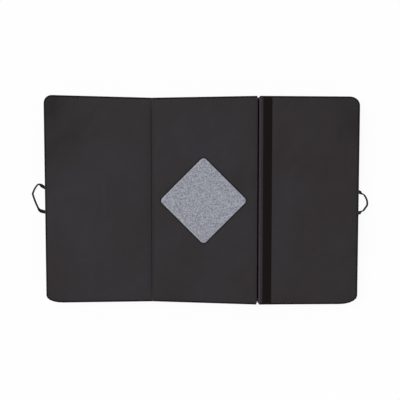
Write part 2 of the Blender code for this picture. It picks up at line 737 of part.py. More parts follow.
def make_shoulder_strap(side_name, side, base_cover, base_foam, finishes):
    """One padded strap, its adjuster, its webbing and its lower anchor, in one groove."""
    centre_x = (LEFT_PANEL.left + LEFT_PANEL.right) / 2
    location = (centre_x + side * SHOULDER_SPREAD / 2, SHOULDER_TOP, 0)
    turn = side * SHOULDER_ANGLE
    name = f"{side_name}_shoulder"
    groove(base_cover, base_foam, name, shoulder_outline, SHOULDER_GROOVE, location, turn)

    ceiling = SHOULDER_GROOVE - CLEARANCE
    lock_y = -SHOULDER_PAD_LENGTH - CLEARANCE - LOCK_LENGTH / 2
    lock_z = ceiling - WEBBING_THICKNESS - CLEARANCE - LOCK_THICKNESS / 2
    anchor_y = -SHOULDER_PAD_LENGTH - WEBBING_LENGTH + ANCHOR_LENGTH
    pad = make_shoulder_pad(side_name, finishes["webbing"])
    pad.location = (0, -SHOULDER_PAD_LENGTH / 2, ceiling - SHOULDER_PAD_THICKNESS / 2)
    lock = make_ladder_lock(side_name, finishes["buckle"])
    lock.location = (0, lock_y, lock_z)
    webbing = make_shoulder_webbing(side_name, lock_y, lock_z, anchor_y, finishes["webbing"])
    points = rectangle(
        -ANCHOR_WIDTH / 2, ANCHOR_WIDTH / 2, anchor_y - ANCHOR_LENGTH, anchor_y - CLEARANCE
    )
    anchor = prism(
        f"{side_name}_shoulder_anchor", points, ceiling - WEBBING_THICKNESS, ceiling, finishes["webbing"]
    )

    strap_frame = bpy.data.objects.new(f"{side_name}_shoulder_frame", None)
    bpy.context.scene.collection.objects.link(strap_frame)
    strap_frame.location = location
    strap_frame.rotation_euler = (0, 0, turn)
    for piece in (pad, lock, webbing, anchor):
        piece.parent = strap_frame


def make_closing_strap(side_name, side, base_cover, base_foam, finishes):
    """A flat strap that swings out from under the left panel's end, with its hook tip."""
    axis = (LEFT_PANEL.left + CLOSING_FROM_END, side * CLOSING_FROM_MIDDLE, 0)
    groove(base_cover, base_foam, f"{side_name}_closing", closing_outline, CLOSING_GROOVE, axis, 0)
    swing = bpy.data.objects.new(f"{side_name}_closing_strap_axis", None)
    bpy.context.scene.collection.objects.link(swing)
    swing.location = (axis[0], axis[1], CLOSING_AXIS_HEIGHT)
    half = CLOSING_WIDTH / 2
    end = CLOSING_START + CLOSING_LENGTH
    for label, start, low, thick, material in (
        ("closing_strap", CLOSING_START, CLOSING_LOW, CLOSING_THICKNESS, "webbing"),
        ("closing_hook", end - HOOK_LENGTH, FLOOR_CLEARANCE, HOOK_THICKNESS, "strip"),
    ):
        points = rectangle(start, end, -half, half)
        made = prism(
            f"{side_name}_{label}", points, low - CLOSING_AXIS_HEIGHT,
            low + thick - CLOSING_AXIS_HEIGHT, finishes[material],
        )
        made.parent = swing


def main():
    """Builds every piece of the pad."""
    clear_scene()
    finishes = make_finishes()
    base_cover = base_foam = None
    for panel in PANELS:
        make_top_sheet(panel, finishes)
        make_side_wall(panel, finishes)
        cover = make_base_cover(panel, finishes)
        foam = make_foam(panel, finishes)
        if panel is LEFT_PANEL:
            base_cover, base_foam = cover, foam
    make_all_piping(finishes)
    make_hinge_strips(finishes)
    make_right_panel_trim(finishes)
    make_carpet_patch(finishes)
    make_handle(
        "left", -1, LEFT_HANDLE_REACH, LEFT_HANDLE_BASE, LEFT_HANDLE_MIDDLE, LEFT_HANDLE_DROOP,
        LEFT_LOOP_SHARES, finishes,
    )
    make_handle(
        "right", 1, RIGHT_HANDLE_REACH, RIGHT_HANDLE_BASE, RIGHT_HANDLE_MIDDLE, RIGHT_HANDLE_DROOP,
        RIGHT_LOOP_SHARES, finishes,
    )
    for side_name, side in (("inner", 1), ("outer", -1)):
        make_shoulder_strap(side_name, side, base_cover, base_foam, finishes)
    for side_name, side in (("rear", 1), ("front", -1)):
        make_closing_strap(side_name, side, base_cover, base_foam, finishes)


main()
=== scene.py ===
"""Looks of the three-panel bouldering crash pad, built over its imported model.

Metres, +Z up. +X runs towards the panel with the hook-and-loop strip and +Y runs to the rear.
"""

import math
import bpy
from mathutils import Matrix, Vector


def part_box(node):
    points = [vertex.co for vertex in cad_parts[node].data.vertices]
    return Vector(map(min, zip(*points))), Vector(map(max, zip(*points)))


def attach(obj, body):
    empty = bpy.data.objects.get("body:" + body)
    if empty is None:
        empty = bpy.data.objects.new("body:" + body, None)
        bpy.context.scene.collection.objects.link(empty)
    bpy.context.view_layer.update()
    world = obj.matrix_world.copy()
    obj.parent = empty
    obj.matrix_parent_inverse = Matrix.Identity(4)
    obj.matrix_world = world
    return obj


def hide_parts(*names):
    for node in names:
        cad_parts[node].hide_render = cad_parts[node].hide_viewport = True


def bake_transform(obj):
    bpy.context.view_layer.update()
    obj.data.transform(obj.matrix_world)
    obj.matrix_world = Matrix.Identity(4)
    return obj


bl_info = {
    "name": "Bouldering crash pad",
    "version": (1, 0, 0),
    "blender": (4, 5, 0),
    "location": "View3D > Sidebar > Crash pad",
    "description": "Padded covers, trim, handles, straps, finishes and stage of a crash pad",
    "category": "Object",
}

from collections import namedtuple

import bmesh
import bpy
import numpy as np
from bpy.props import FloatProperty, FloatVectorProperty, IntProperty, PointerProperty
from mathutils import Matrix, Vector, noise
from mathutils.bvhtree import BVHTree
from mathutils.geometry import convex_hull_2d, interpolate_bezier

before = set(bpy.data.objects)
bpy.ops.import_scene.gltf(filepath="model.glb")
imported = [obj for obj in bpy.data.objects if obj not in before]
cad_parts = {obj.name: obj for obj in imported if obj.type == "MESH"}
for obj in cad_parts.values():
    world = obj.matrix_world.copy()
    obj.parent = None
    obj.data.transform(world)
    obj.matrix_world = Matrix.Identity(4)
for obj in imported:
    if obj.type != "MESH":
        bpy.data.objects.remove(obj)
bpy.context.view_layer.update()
UP = Vector((0, 0, 1))

# Each panel and its body
PANELS = {"left": "left_panel", "middle": "middle_panel", "right": "right_panel"}

# Heights and insets of the cover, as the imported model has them
SEAM_HEIGHT = 0.097
SHEET_INSET = 0.0088
WALL_INSET = 0.005
WALL_BULGE = 0.002
WALL_FOOT = 0.0015
PIPING_HEIGHT = 0.0935
PIPING_INSET = 0.004
PIPING_SEAT = 0.0892
CROWN = 0.005
CROWN_REACH = 0.060

# The folds and what is sewn onto the top sheets
CREASE_X = -0.283
CREASE_ENDS = (-0.5725, 0.5750)
OPEN_FOLD_X = 0.3205
PATCH_CENTRE = (0.0096, 0.0005)
PATCH_HALF = 0.357 / 2
STRIP_SIDES = (0.3465, 0.3965)
BOUND_SIDES = (0.3243, 0.3368)
SEAM_STEP = 0.008
PATCH_STEP = 0.006


def linear(code):
    """An sRGB hex colour as linear red, green and blue."""
    channels = [int(code[index:index + 2], 16) / 255 for index in (1, 3, 5)]
    return tuple(c / 12.92 if c <= 0.04045 else ((c + 0.055) / 1.055) ** 2.4 for c in channels)


def length_property(name, description, default):
    """A length in metres that a user may change."""
    return FloatProperty(
        name=name, description=description, default=default, min=0, unit="LENGTH", precision=4
    )


def colour_property(name, description, code):
    """A colour that a user may change, from its sRGB hex code."""
    return FloatVectorProperty(
        name=name, description=description, default=linear(code), size=3, min=0, max=1,
        subtype="COLOR",
    )


class CrashPadSizes(bpy.types.PropertyGroup):
    """Sizes of the cover's fabric, its seams and its trim."""

    cell: length_property("Cell", "Side of one cell of the cover's cloth", 0.010)
    sheet: length_property("Sheet", "Thickness of the cover's fabric", 0.0012)
    swell: length_property("Swell", "Most that the top sheet stands above the foam", 0.0016)
    wall_swell: length_property("Wall swell", "Most that a side wall swells outwards", 0.0045)
    pucker: length_property("Pucker", "Height of the gathers along the seams", 0.0007)
    pucker_pitch: length_property("Pucker pitch", "Distance from gather to gather", 0.021)
    piping_radius: length_property("Piping radius", "Radius of the piping in the seams", 0.004)
    stitch: length_property("Stitch", "Length of one stitch", 0.0055)
    stitch_pitch: length_property("Stitch pitch", "Distance from stitch to stitch", 0.008)
    thread: length_property("Thread", "Width of the sewing thread", 0.0011)
    carpet_cell: length_property("Carpet cell", "Side of one cell of the carpet's pile", 0.0045)
    carpet_pile: length_property("Carpet pile", "Height of the carpet above the sheet", 0.004)
    pressure: FloatProperty(
        name="Pressure", description="Push of the foam against the cover", default=0.1, min=0
    )
    ease: FloatProperty(
        name="Ease", description="Share by which the fabric is larger than its seams",
        default=0.003, min=0, max=0.1, subtype="FACTOR",
    )
    grip: FloatProperty(
        name="Grip", description="Share by which the foam holds the fabric where it lies",
        default=0.1, min=0, max=1, subtype="FACTOR",
    )
    stiffness: FloatProperty(
        name="Stiffness", description="Resistance of the coated fabric to bending", default=3, min=0
    )
    frames: IntProperty(
        name="Frames", description="Steps that the cloth takes to settle", default=20, min=1
    )


class CrashPadColours(bpy.types.PropertyGroup):
    """Colours of the finishes."""

    cover: colour_property("Cover", "Near-black coated nylon of the cover", "#2c2829")
    # Paler, bluer colour of the faded patches and of the painted light towards the left
    cover_faded_and_painted_light: colour_property("Cover, faded", "The cover where it has faded", "#302d31")
    # Colour of the painted shade at the rear left corner and the left end
    cover_painted_shade: colour_property("Cover, fresh", "The cover where it is least worn", "#1f1c1d")
    base: colour_property("Base", "Black ballistic nylon under the pad", "#1f1f21")
    piping: colour_property("Piping", "Black piping tape", "#141313")
    strip: colour_property("Strip", "Black hook-and-loop pile", "#1a1413")
    binding: colour_property("Binding", "Grey-purple grosgrain at the open fold", "#44404d")
    webbing: colour_property("Webbing", "Black nylon webbing", "#0e0e0f")
    thread: colour_property("Thread", "Charcoal sewing thread", "#4c4a4e")
    carpet_dark: colour_property("Carpet, dark fibre", "Darker fibres of the heather", "#767880")
    carpet_light: colour_property("Carpet, light fibre", "Paler fibres of the heather", "#a6a8b3")
    closed_foam: colour_property("Closed-cell foam", "Charcoal polyethylene foam", "#3c3f42")
    open_foam: colour_property("Open-cell foam", "Cream polyurethane foam", "#d8cfae")
    acetal: colour_property("Buckle", "Black moulded acetal", "#17181a")
    floor: colour_property("Floor", "Pale studio floor", "#f4f4f4")


# Finishes


def add_node(tree, kind, inputs=(), output=0, **settings):
    """Adds a node with its settings, sets or links its inputs, and returns one of its outputs."""
    node = tree.nodes.new(f"ShaderNode{kind}")
    for name, value in settings.items():
        setattr(node, name, value)
    for name, value in inputs.items() if isinstance(inputs, dict) else enumerate(inputs):
        if isinstance(value, bpy.types.NodeSocket):
            tree.links.new(value, node.inputs[name])
        else:
            node.inputs[name].default_value = value
    return node.outputs[output] if node.outputs else None


def cleared(owner):
    """The node tree of a material or a world, emptied."""
    owner.use_nodes = True
    owner.node_tree.nodes.clear()
    return owner.node_tree


def layered(tree, place, layers, total=0.0):
    """Textures added to a value, each as its share, kind, size in metres, detail and roughness."""
    for share, kind, size, detail, roughness in layers:
        texture = add_node(tree, kind, {
            "Vector": place, "Scale": 1 / size, "Detail": detail, "Roughness": roughness,
        })
        total = add_node(tree, "Math", (texture, share, total), operation="MULTIPLY_ADD")
    return total


def thread_pattern(tree, cloth, angle, spacing, crossed):
    """Ribs of thread at an angle to the cloth, or threads that go over and under each other."""
    turned = add_node(tree, "Mapping", {
        "Vector": cloth, "Rotation": (0, 0, math.radians(angle)), "Scale": [math.tau / spacing] * 3,
    })
    sines = add_node(tree, "VectorMath", (turned,), operation="SINE")
    ribs = add_node(tree, "SeparateXYZ", (sines,)).node.outputs
    return add_node(tree, "Math", (ribs[0], ribs[1]), operation="MULTIPLY") if crossed else ribs[0]


def painted_light_and_shade(tree, place, value):
    """Painted light and shade on the cover: it is painted lighter and bluer towards the left.

    Painted shade darkens the rear left corner and the left end.
    """
    along = add_node(tree, "SeparateXYZ", (place,))
    # Painted light: the value rises towards the left, so the cover is painted lighter and bluer
    # there
    value = add_node(tree, "Math", (along, -0.14, value), operation="MULTIPLY_ADD")
    # Painted shade: the cover is painted darker round the rear left corner and at the left end
    from_corner = add_node(
        tree, "VectorMath", (place, (-0.91, 0.60, 0.10)), "Value", operation="DISTANCE"
    )
    inside_end = add_node(tree, "Math", (along, 0.89), operation="ADD")
    from_end = add_node(tree, "Math", (inside_end, 0.0), operation="MAXIMUM")
    for distance, falloff, amount in ((from_corner, 0.008, -0.80), (from_end, 1e-6, -0.20)):
        painted_shade = add_node(tree, "Math", (falloff, distance), operation="POWER")
        value = add_node(tree, "Math", (painted_shade, amount, value), operation="MULTIPLY_ADD")
    return value


def painted_rim_highlight(tree, place, value):
    """Painted highlight at the carpet's rim, where the binding presses the pile flat: the carpet is
    painted a little paler there.
    """
    rim = add_node(tree, "Attribute", (), "Fac", attribute_name="rim")
    return add_node(tree, "Math", (rim, 0.04, value), operation="MULTIPLY_ADD")


# A finish: its material, roughness, specular level and sheen; the colour at each value of its
# patches, the patches as layered takes them, and a function that marks them; its threads as angle,
# spacing and whether they cross, or none where the patches stand out themselves; the dents under
# the threads; and the depth and strength of that relief
Finish = namedtuple("Finish", (
    "material", "roughness", "specular", "sheen", "colours", "patches", "threads", "depth", "marks",
    "dents", "strength",
), defaults=(None, (), 1.0))
FINISHES = {
    # 600-denier nylon, woven and coated: a dull near-black face with faded patches, painted lighter
    # and bluer towards the left, with painted shade at the rear left corner and the left end.
    # The real threads are 0.5 mm apart: they are drawn 2 mm apart so that they show
    "cover": Finish(
        "coated_nylon_woven", 0.65, 0.12, 0.0,
        ((0.38, "cover"), (0.62, "cover_faded_and_painted_light"), (0.10, "cover_painted_shade")),
        ((0.7, "TexNoise", 0.30, 4.0, 0.55), (0.3, "TexNoise", 0.012, 5.0, 0.7)),
        (0, 0.004, True), 0.0003, painted_light_and_shade, ((4.0, "TexNoise", 0.05, 3.0, 0.55),), 0.7,
    ),
    # 1680-denier nylon, woven coarse: the tough, dull underside, scuffed where it drags.
    # The real threads are 1 mm apart: they are drawn 2.5 mm apart so that they show
    "base": Finish(
        "ballistic_nylon_woven", 0.7, 0.12, 0.0, ((0.45, "base"), (0.75, "cover")),
        ((1.0, "TexNoise", 0.12, 6.0, 0.65),), (0, 0.005, True), 0.0005,
    ),
    # Bias-cut nylon tape wrapped round a cord: very dark, with faint slanting puckers
    "piping": Finish(
        "piping_tape_bias_cut", 0.6, 0.12, 0.0, ((0.3, "piping"), (0.7, "base")),
        ((1.0, "TexNoise", 0.02, 3.0, 0.55),), (40, 0.004, False), 0.0003,
    ),
    # Nylon loop pile, brushed: it swallows light and looks fuzzy and nearly black
    "strip": Finish(
        "hook_and_loop_brushed_pile", 0.95, 0.03, 0.02, ((0.3, "piping"), (0.7, "strip")),
        ((1.0, "TexNoise", 0.0018, 6.0, 0.8),), None, 0.0012,
    ),
    # Polyester grosgrain, woven with ribs across: a slightly paler tape with a soft gleam.
    # The real ribs are 1 mm apart: they are drawn 2 mm apart so that they show
    "binding": Finish(
        "grosgrain_ribbed_tape", 0.5, 0.18, 0.0, ((0.3, "cover_faded_and_painted_light"), (0.7, "binding")),
        ((1.0, "TexNoise", 0.01, 3.0, 0.55),), (0, 0.002, False), 0.0004,
    ),
    # Nylon webbing, woven in a herringbone: black with slanting ribs and a low gleam
    "webbing": Finish(
        "nylon_webbing_herringbone", 0.6, 0.12, 0.0, ((0.3, "webbing"), (0.7, "piping")),
        ((1.0, "TexNoise", 0.01, 3.0, 0.55),), (45, 0.003, False), 0.0004,
    ),
    # Bonded polyester thread, twisted: small, slightly paler dashes along the seams
    "thread": Finish(
        "bonded_thread_twisted", 0.5, 0.15, 0.0, ((0.3, "base"), (0.7, "thread")),
        ((1.0, "TexNoise", 0.003, 3.0, 0.55),), None, 0.0,
    ),
    # Needle-punched polypropylene carpet: a dry heather of pale and dark grey fibres.
    # Real tufts are 3 mm across: the dark flecks are drawn 8 mm apart so that they show
    "carpet": Finish(
        "carpet_needle_punched", 0.95, 0.1, 0.1, ((0.40, "carpet_dark"), (0.57, "carpet_light")),
        ((0.75, "TexNoise", 0.008, 3.0, 0.65), (0.25, "TexNoise", 0.003, 3.0, 0.7)), None, 0.003,
        # Painted highlight: the carpet is painted paler at its rim
        painted_rim_highlight,
    ),
    # Cross-linked polyethylene foam, skived: charcoal with a fine closed skin
    "closed_foam": Finish(
        "polyethylene_foam_skived", 0.8, 0.3, 0.0, ((0.3, "cover"), (0.7, "closed_foam")),
        ((1.0, "TexNoise", 0.002, 4.0, 0.7),), None, 0.0004,
    ),
    # Polyurethane foam, cut: cream with open pores about 1.5 mm across
    "open_foam": Finish(
        "polyurethane_foam_cut", 0.9, 0.2, 0.1, ((0.4, "open_foam"), (1.0, "carpet_dark")),
        ((1.0, "TexVoronoi", 0.0015, 0.0, 0.5),), None, 0.0008,
    ),
    # Acetal, injection moulded and spark-finished: black with a fine satin grain
    "acetal": Finish(
        "acetal_moulded_satin", 0.38, 0.45, 0.0, ((0.3, "acetal"), (0.7, "base")),
        ((1.0, "TexNoise", 0.0008, 2.0, 0.55),), None, 0.0001,
    ),
}


def finish(name):
    """The material of a finish, made at its first use."""
    look = FINISHES[name]
    made = bpy.data.materials.get(look.material)
    if made:
        return made
    made = bpy.data.materials.new(look.material)
    tree = cleared(made)
    coordinates = add_node(tree, "TexCoord").node.outputs
    place = coordinates["Object"]
    value = layered(tree, place, look.patches)
    if look.marks:
        value = look.marks(tree, place, value)
    ramp = add_node(tree, "ValToRGB", (value,))
    stops = ramp.node.color_ramp.elements
    for index, (position, colour) in enumerate(look.colours):
        stop = stops[index] if index < 2 else stops.new(position)
        stop.position = position
        stop.color = (*getattr(bpy.context.scene.crash_pad_colours, colour), 1)
    inputs = {
        "Base Color": ramp, "Roughness": look.roughness, "Specular IOR Level": look.specular,
        "Sheen Weight": look.sheen, "Sheen Roughness": 0.6,
    }
    if look.threads:
        threads = thread_pattern(tree, coordinates["UV"], *look.threads)
        value = layered(tree, place, look.dents, threads)
    if look.depth:
        inputs["Normal"] = add_node(tree, "Bump", {
            "Height": value, "Distance": look.depth, "Strength": look.strength,
        })
    add_node(tree, "OutputMaterial", {"Surface": add_node(tree, "BsdfPrincipled", inputs)})
    return made


# Shapes

# How near a cut a corner has to lie to be moved onto it, as a share of a cell
CUT_SLACK = 0.08
# How far outside a wall a line is sent in to meet it, and how far it goes
WALL_REACH = 0.05
WALL_LINE = 0.08
# How far from a fold the piping, the swelling and the walls' stitches stop
PIPING_STOP = 0.003
SWELL_STOP = 0.004
STITCH_STOP = 0.012
SEWN_STEP = 0.004

def new_piece(name, shape, look, slot, body=None, *replaced):
    """Makes a bmesh a named piece: its finish, its body and the CAD nodes it replaces; slot is not
    used.
    """
    mesh = bpy.data.meshes.new(name)
    shape.to_mesh(mesh)
    shape.free()
    mesh.materials.append(finish(look))
    mesh.shade_smooth()
    piece = bpy.data.objects.new(name, mesh)
    bpy.context.scene.collection.objects.link(piece)
    if body:
        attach(piece, body)
    if replaced:
        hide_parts(*replaced)
    return piece


def finish_fabric(piece, thickness, levels=1):
    """Rounds a fabric piece and gives it its thickness, on the side that its faces turn from."""
    if levels:
        rounded = piece.modifiers.new("rounded", "SUBSURF")
        rounded.levels = rounded.render_levels = levels
    solid = piece.modifiers.new("thickness", "SOLIDIFY")
    solid.thickness = thickness
    solid.offset = -1
    solid.use_even_offset = True


def lengths_along(points):
    """How far along a line each of its points lies."""
    lengths = [0.0]
    for start, end in zip(points, points[1:]):
        lengths.append(lengths[-1] + (end - start).length)
    return lengths


def directions_along(path):
    """The direction that a path runs in at each of its points."""
    neighbours = zip(path[:1] + path[:-1], path[1:] + path[-1:])
    return [(after - before).normalized() for before, after in neighbours]


def eased(share):
    """A share kept between 0 and 1 that starts and ends gently."""
    share = min(max(share, 0.0), 1.0)
    return share * share * (3 - 2 * share)


def extrude_line(shape, line, closed=True):
    """Extrudes a line of vertices. Returns the new ones in the same order, and their faces."""
    pairs = zip(line, line[1:] + line[:1] if closed else line[1:])
    edges = [shape.edges.get(pair) for pair in pairs]
    made = bmesh.ops.extrude_edge_only(shape, edges=edges)["geom"]
    fresh = {item for item in made if isinstance(item, bmesh.types.BMVert)}
    faces = [item for item in made if isinstance(item, bmesh.types.BMFace)]
    line = [
        next(edge.other_vert(vert) for edge in vert.link_edges if edge.other_vert(vert) in fresh)
        for vert in line
    ]
    return line, faces


def map_rows(cloth, faces, rows, along, around):
    """A UV map in metres: how far along each row of vertices is, and how far round each vertex."""
    count = len(rows[0])
    numbers = {
        vert: (row, index) for row, line in enumerate(rows) for index, vert in enumerate(line)
    }
    for face in faces:
        wraps = {0, count - 1}.issubset(numbers[vert][1] for vert in face.verts)
        for corner in face.loops:
            row, index = numbers[corner.vert]
            corner[cloth].uv = (along[row], around[count if wraps and index == 0 else index])


def loft(rings, closed=True, capped=True):
    """Skins rings of equal count by extruding the first one through the rest."""
    shape = bmesh.new()
    cloth = shape.loops.layers.uv.new("UVMap")
    line = [shape.verts.new(point) for point in rings[0]]
    for pair in zip(line, line[1:] + line[:1] if closed else line[1:]):
        shape.edges.new(pair)
    lines = [line]
    for ring in rings[1:]:
        line, _ = extrude_line(shape, line, closed)
        for vert, point in zip(line, ring):
            vert.co = point
        lines.append(line)
    along = lengths_along([ring[0] for ring in rings])
    map_rows(cloth, shape.faces, lines, along, lengths_along(rings[0] + rings[0][:1]))
    if closed and capped:
        for end in (lines[0], lines[-1]):
            shape.faces.new(end)
    if closed:
        bmesh.ops.recalc_face_normals(shape, faces=shape.faces)
    return shape


def band_section(width, thickness, steps=4):
    """Section of a webbing band with round edges, as distances across and up."""
    radius = thickness / 2
    section = []
    for side in (1, -1):
        for step in range(steps + 1):
            angle = math.pi * (step / steps - 0.5)
            across = side * (width / 2 - radius + radius * math.cos(angle))
            section.append((across, side * radius * math.sin(angle)))
    return section


def round_section(radius, sides):
    """Section of a cord, as distances across and up."""
    angles = [math.tau * step / sides for step in range(sides)]
    return [(radius * math.cos(angle), radius * math.sin(angle)) for angle in angles]


def sweep(section, path, across, up=None):
    """Rings of a section along a path, from the direction across it at each point."""
    rings = []
    for point, side, along in zip(path, across, directions_along(path)):
        lift = side.cross(along).normalized() if up is None else up
        rings.append([point + side * a + lift * b for a, b in section])
    return rings


def straight_band(width, thickness, path, across):
    """A webbing band whose direction across stays the same along its path."""
    return loft(sweep(band_section(width, thickness), path, [across] * len(path)))


def smooth_path(points, steps):
    """A smooth curve through points, with a number of steps between each pair."""
    padded = [2 * points[0] - points[1], *points, 2 * points[-1] - points[-2]]
    path = []
    for before, start, end, after in zip(padded, padded[1:], padded[2:], padded[3:]):
        leaving, arriving = start + (end - before) / 6, end - (after - start) / 6
        path += interpolate_bezier(start, leaving, arriving, end, steps + 1)[:-1]
    return path + points[-1:]


def evenly(points, spacing, closed=False):
    """The same line with points about the given spacing apart."""
    stops = points[1:] + (points[:1] if closed else [])
    made = []
    for start, end in zip(points, stops):
        count = max(1, round((end - start).length / spacing))
        made += [start.lerp(end, step / count) for step in range(count)]
    return made if closed else made + [points[-1]]


def plan_outline(node):
    """The outline of a CAD node's foot in plan, anticlockwise."""
    foot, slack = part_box(node)[0].z, 0.0002
    places = sorted({
        (round(vert.co.x, 5), round(vert.co.y, 5))
        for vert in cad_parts[node].data.vertices if abs(vert.co.z - foot) < slack
    })
    return [Vector(places[index]) for index in convex_hull_2d([Vector(place) for place in places])]


def outward(points):
    """Plan directions that would move a closed anticlockwise outline out by one all round."""
    directions = []
    for before, here, after in zip(points[-1:] + points[:-1], points, points[1:] + points[:1]):
        first, second = (here - before).normalized(), (after - here).normalized()
        first, second = Vector((first.y, -first.x)), Vector((second.y, -second.x))
        directions.append((first + second) / (1 + first.dot(second)))
    return directions


def moved_out(outline, distance):
    """A closed anticlockwise outline moved outwards in plan."""
    return [place + direction * distance for place, direction in zip(outline, outward(outline))]


def edge_distance(places, outline):
    """Distance of each place in plan from an outline, as an array."""
    places = np.array([tuple(place)[:2] for place in places])
    starts = np.array([tuple(point) for point in outline])
    runs = np.roll(starts, -1, axis=0) - starts
    nearest = np.full(len(places), np.inf)
    for start, run in zip(starts, runs):
        share = np.clip((places - start) @ run / (run @ run), 0, 1)
        nearest = np.minimum(nearest, np.linalg.norm(places - start - share[:, None] * run, axis=1))
    return nearest


def crown_height(distance):
    """How far the top sheet has risen at a distance in from its own edge."""
    return CROWN * np.sqrt(1 - (1 - np.clip(distance / CROWN_REACH, 0, 1)) ** 2)


def beside_fold(panel, along, margin):
    """Which of the places along x lie within a margin of a side where the panel folds."""
    low, high = (corner.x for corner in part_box(f"{panel}_side_wall"))
    along = np.array(along)
    beside = np.zeros(len(along), bool)
    if panel != "left":
        beside |= along < low + margin
    if panel != "right":
        beside |= along > high - margin
    return beside


def unbroken(items, kept):
    """The stretches of a row in which every item is kept, where they hold two or more."""
    rows = [[]]
    for item, keep in zip(items, kept):
        if keep:
            rows[-1].append(item)
        else:
            rows.append([])
    return [row for row in rows if len(row) > 1]


def flat_sheet(outline):
    """A flat sheet of one face inside an outline."""
    shape = bmesh.new()
    shape.faces.new([shape.verts.new((*point, 0)) for point in outline])
    return shape


def map_flat(shape, cloth):
    """A UV map of a sheet in metres, as it lies in plan."""
    for face in shape.faces:
        for corner in face.loops:
            corner[cloth].uv = corner.vert.co.xy


def turn_faces(shape, direction):
    """Turns an open sheet's faces the same way, towards a direction."""
    bmesh.ops.recalc_face_normals(shape, faces=shape.faces)
    shape.normal_update()
    if sum(face.normal.dot(direction) * face.calc_area() for face in shape.faces) < 0:
        bmesh.ops.reverse_faces(shape, faces=shape.faces[:])


def cut_along(shape, axis, places, slack):
    """Cuts a shape across one axis at each of the places along it."""
    for place in places:
        point, normal = Vector(), Vector()
        point[axis] = place
        normal[axis] = 1
        bmesh.ops.bisect_plane(
            shape, geom=shape.verts[:] + shape.edges[:] + shape.faces[:], dist=slack,
            plane_co=point, plane_no=normal,
        )


def cut_into_cells(shape, cell):
    """Cuts a flat sheet along lines one cell apart."""
    for axis in (0, 1):
        places = [vert.co[axis] for vert in shape.verts]
        low, high = min(places), max(places)
        count = max(1, round((high - low) / cell))
        cuts = [low + (high - low) * index / count for index in range(1, count)]
        cut_along(shape, axis, cuts, cell * CUT_SLACK)


def round_edges(shape, edges, offset, segments):
    """Rounds edges of a shape off."""
    bmesh.ops.bevel(
        shape, geom=edges, offset=offset, offset_type="OFFSET", segments=segments, affect="EDGES",
        profile=0.5, material=-1,
    )


def border_line(shape):
    """The vertices round a sheet's border, anticlockwise seen from above."""
    edges = {edge for edge in shape.edges if edge.is_boundary}
    vert = next(iter(edges)).verts[0]
    line = []
    while edges:
        edge = next(edge for edge in vert.link_edges if edge in edges)
        edges.remove(edge)
        line.append(vert)
        vert = edge.other_vert(vert)
    turn = sum(a.co.x * b.co.y - a.co.y * b.co.x for a, b in zip(line, line[1:] + line[:1]))
    return line if turn > 0 else line[::-1]


def stitches(rows, sizes):
    """Stitches along rows of (point, up) pairs, as one bmesh of small rounded dashes."""
    dash = bmesh.new()
    bmesh.ops.create_icosphere(dash, subdivisions=1, radius=0.5)
    template = bpy.data.meshes.new("stitch")
    dash.to_mesh(template)
    dash.free()
    shape = bmesh.new()
    scale = Matrix.Diagonal((sizes.stitch, sizes.thread, sizes.thread * 0.8, 1))
    for row in rows:
        travelled = lengths_along([point for point, _ in row])
        count = max(1, int(travelled[-1] / sizes.stitch_pitch))
        segment = 0
        for index in range(count):
            distance = travelled[-1] * (index + 0.5) / count
            while travelled[segment + 1] < distance:
                segment += 1
            (start, start_up), (end, end_up) = row[segment], row[segment + 1]
            share = (distance - travelled[segment]) / (travelled[segment + 1] - travelled[segment])
            along = (end - start).normalized()
            side = start_up.lerp(end_up, share).cross(along).normalized()
            turn = Matrix((along, side, along.cross(side))).transposed().to_4x4()
            turn.translation = start.lerp(end, share)
            first = len(shape.verts)
            shape.from_mesh(template)
            shape.verts.ensure_lookup_table()
            bmesh.ops.transform(shape, matrix=turn @ scale, verts=shape.verts[first:])
    bpy.data.meshes.remove(template)
    return shape


def surface_of(name):
    """The finished surface of a piece, to lay other pieces on."""
    bpy.context.view_layer.update()
    return BVHTree.FromObject(bpy.data.objects[name], bpy.context.evaluated_depsgraph_get())


def laid_on(surface, places, start=0.3):
    """The (point, normal) pairs where places in plan meet a surface, from above or from below."""
    met = [surface.ray_cast(Vector((*place.xy, start)), -UP * start)[:2] for place in places]
    return [(point, normal) for point, normal in met if point is not None]


def laid_beside(panel, outline, height):
    """Rows of (point, out) pairs where a level line meets a side wall, left out at the folds."""
    surface, met = surface_of(f"{panel}_cover_wall"), []
    for place, direction in zip(outline, outward(outline)):
        start = Vector((*(place + direction * WALL_REACH), height))
        met.append(surface.ray_cast(start, -Vector((*direction, 0)), WALL_LINE)[:2])
    at_fold = beside_fold(panel, [place.x for place in outline], STITCH_STOP)
    return unbroken(met, [point is not None and not fold for (point, _), fold in zip(met, at_fold)])


def sewn_below(surface, place, corners):
    """A row of (point, normal) pairs under a strap, through corners in the strap's own frame."""
    line = evenly([place @ Vector((*corner, 0)) for corner in corners], SEWN_STEP)
    return laid_on(surface, line, -0.1)


def boxed(left, right, front, rear):
    """Corners of a closed box of stitches."""
    return [(left, front), (right, front), (right, rear), (left, rear), (left, front)]


# Covers

# Inset and height of the first rows down a side wall, which go in behind the piping
WALL_TOP = (
    (SHEET_INSET, SEAM_HEIGHT - 0.003), (0.0086, PIPING_SEAT), (0.0058, PIPING_SEAT - 0.001),
)
WALL_FULLNESS = 2.0
WALL_ROUNDNESS = 0.7
# The rows under the seam that are sewn, and how near a sewn edge a cell's corner has to lie
PINNED_ROWS = 3
PINNED_CELLS = 0.6
FABRIC_MASS = 0.05

def trim_distance(panel, places):
    """Distance of places from what is sewn onto a panel's top sheet, negative under it."""
    places = np.array([tuple(place)[:2] for place in places])
    if panel == "middle":
        turned = (places - np.array(PATCH_CENTRE)) @ np.array(((1, 1), (-1, 1))) / math.sqrt(2)
        return np.max(np.abs(turned) - PATCH_HALF, axis=1)
    if panel == "right":
        strip = np.maximum(STRIP_SIDES[0] - places[:, 0], places[:, 0] - STRIP_SIDES[1])
        return np.minimum(strip, places[:, 0] - BOUND_SIDES[1])
    return np.full(len(places), 1.0)


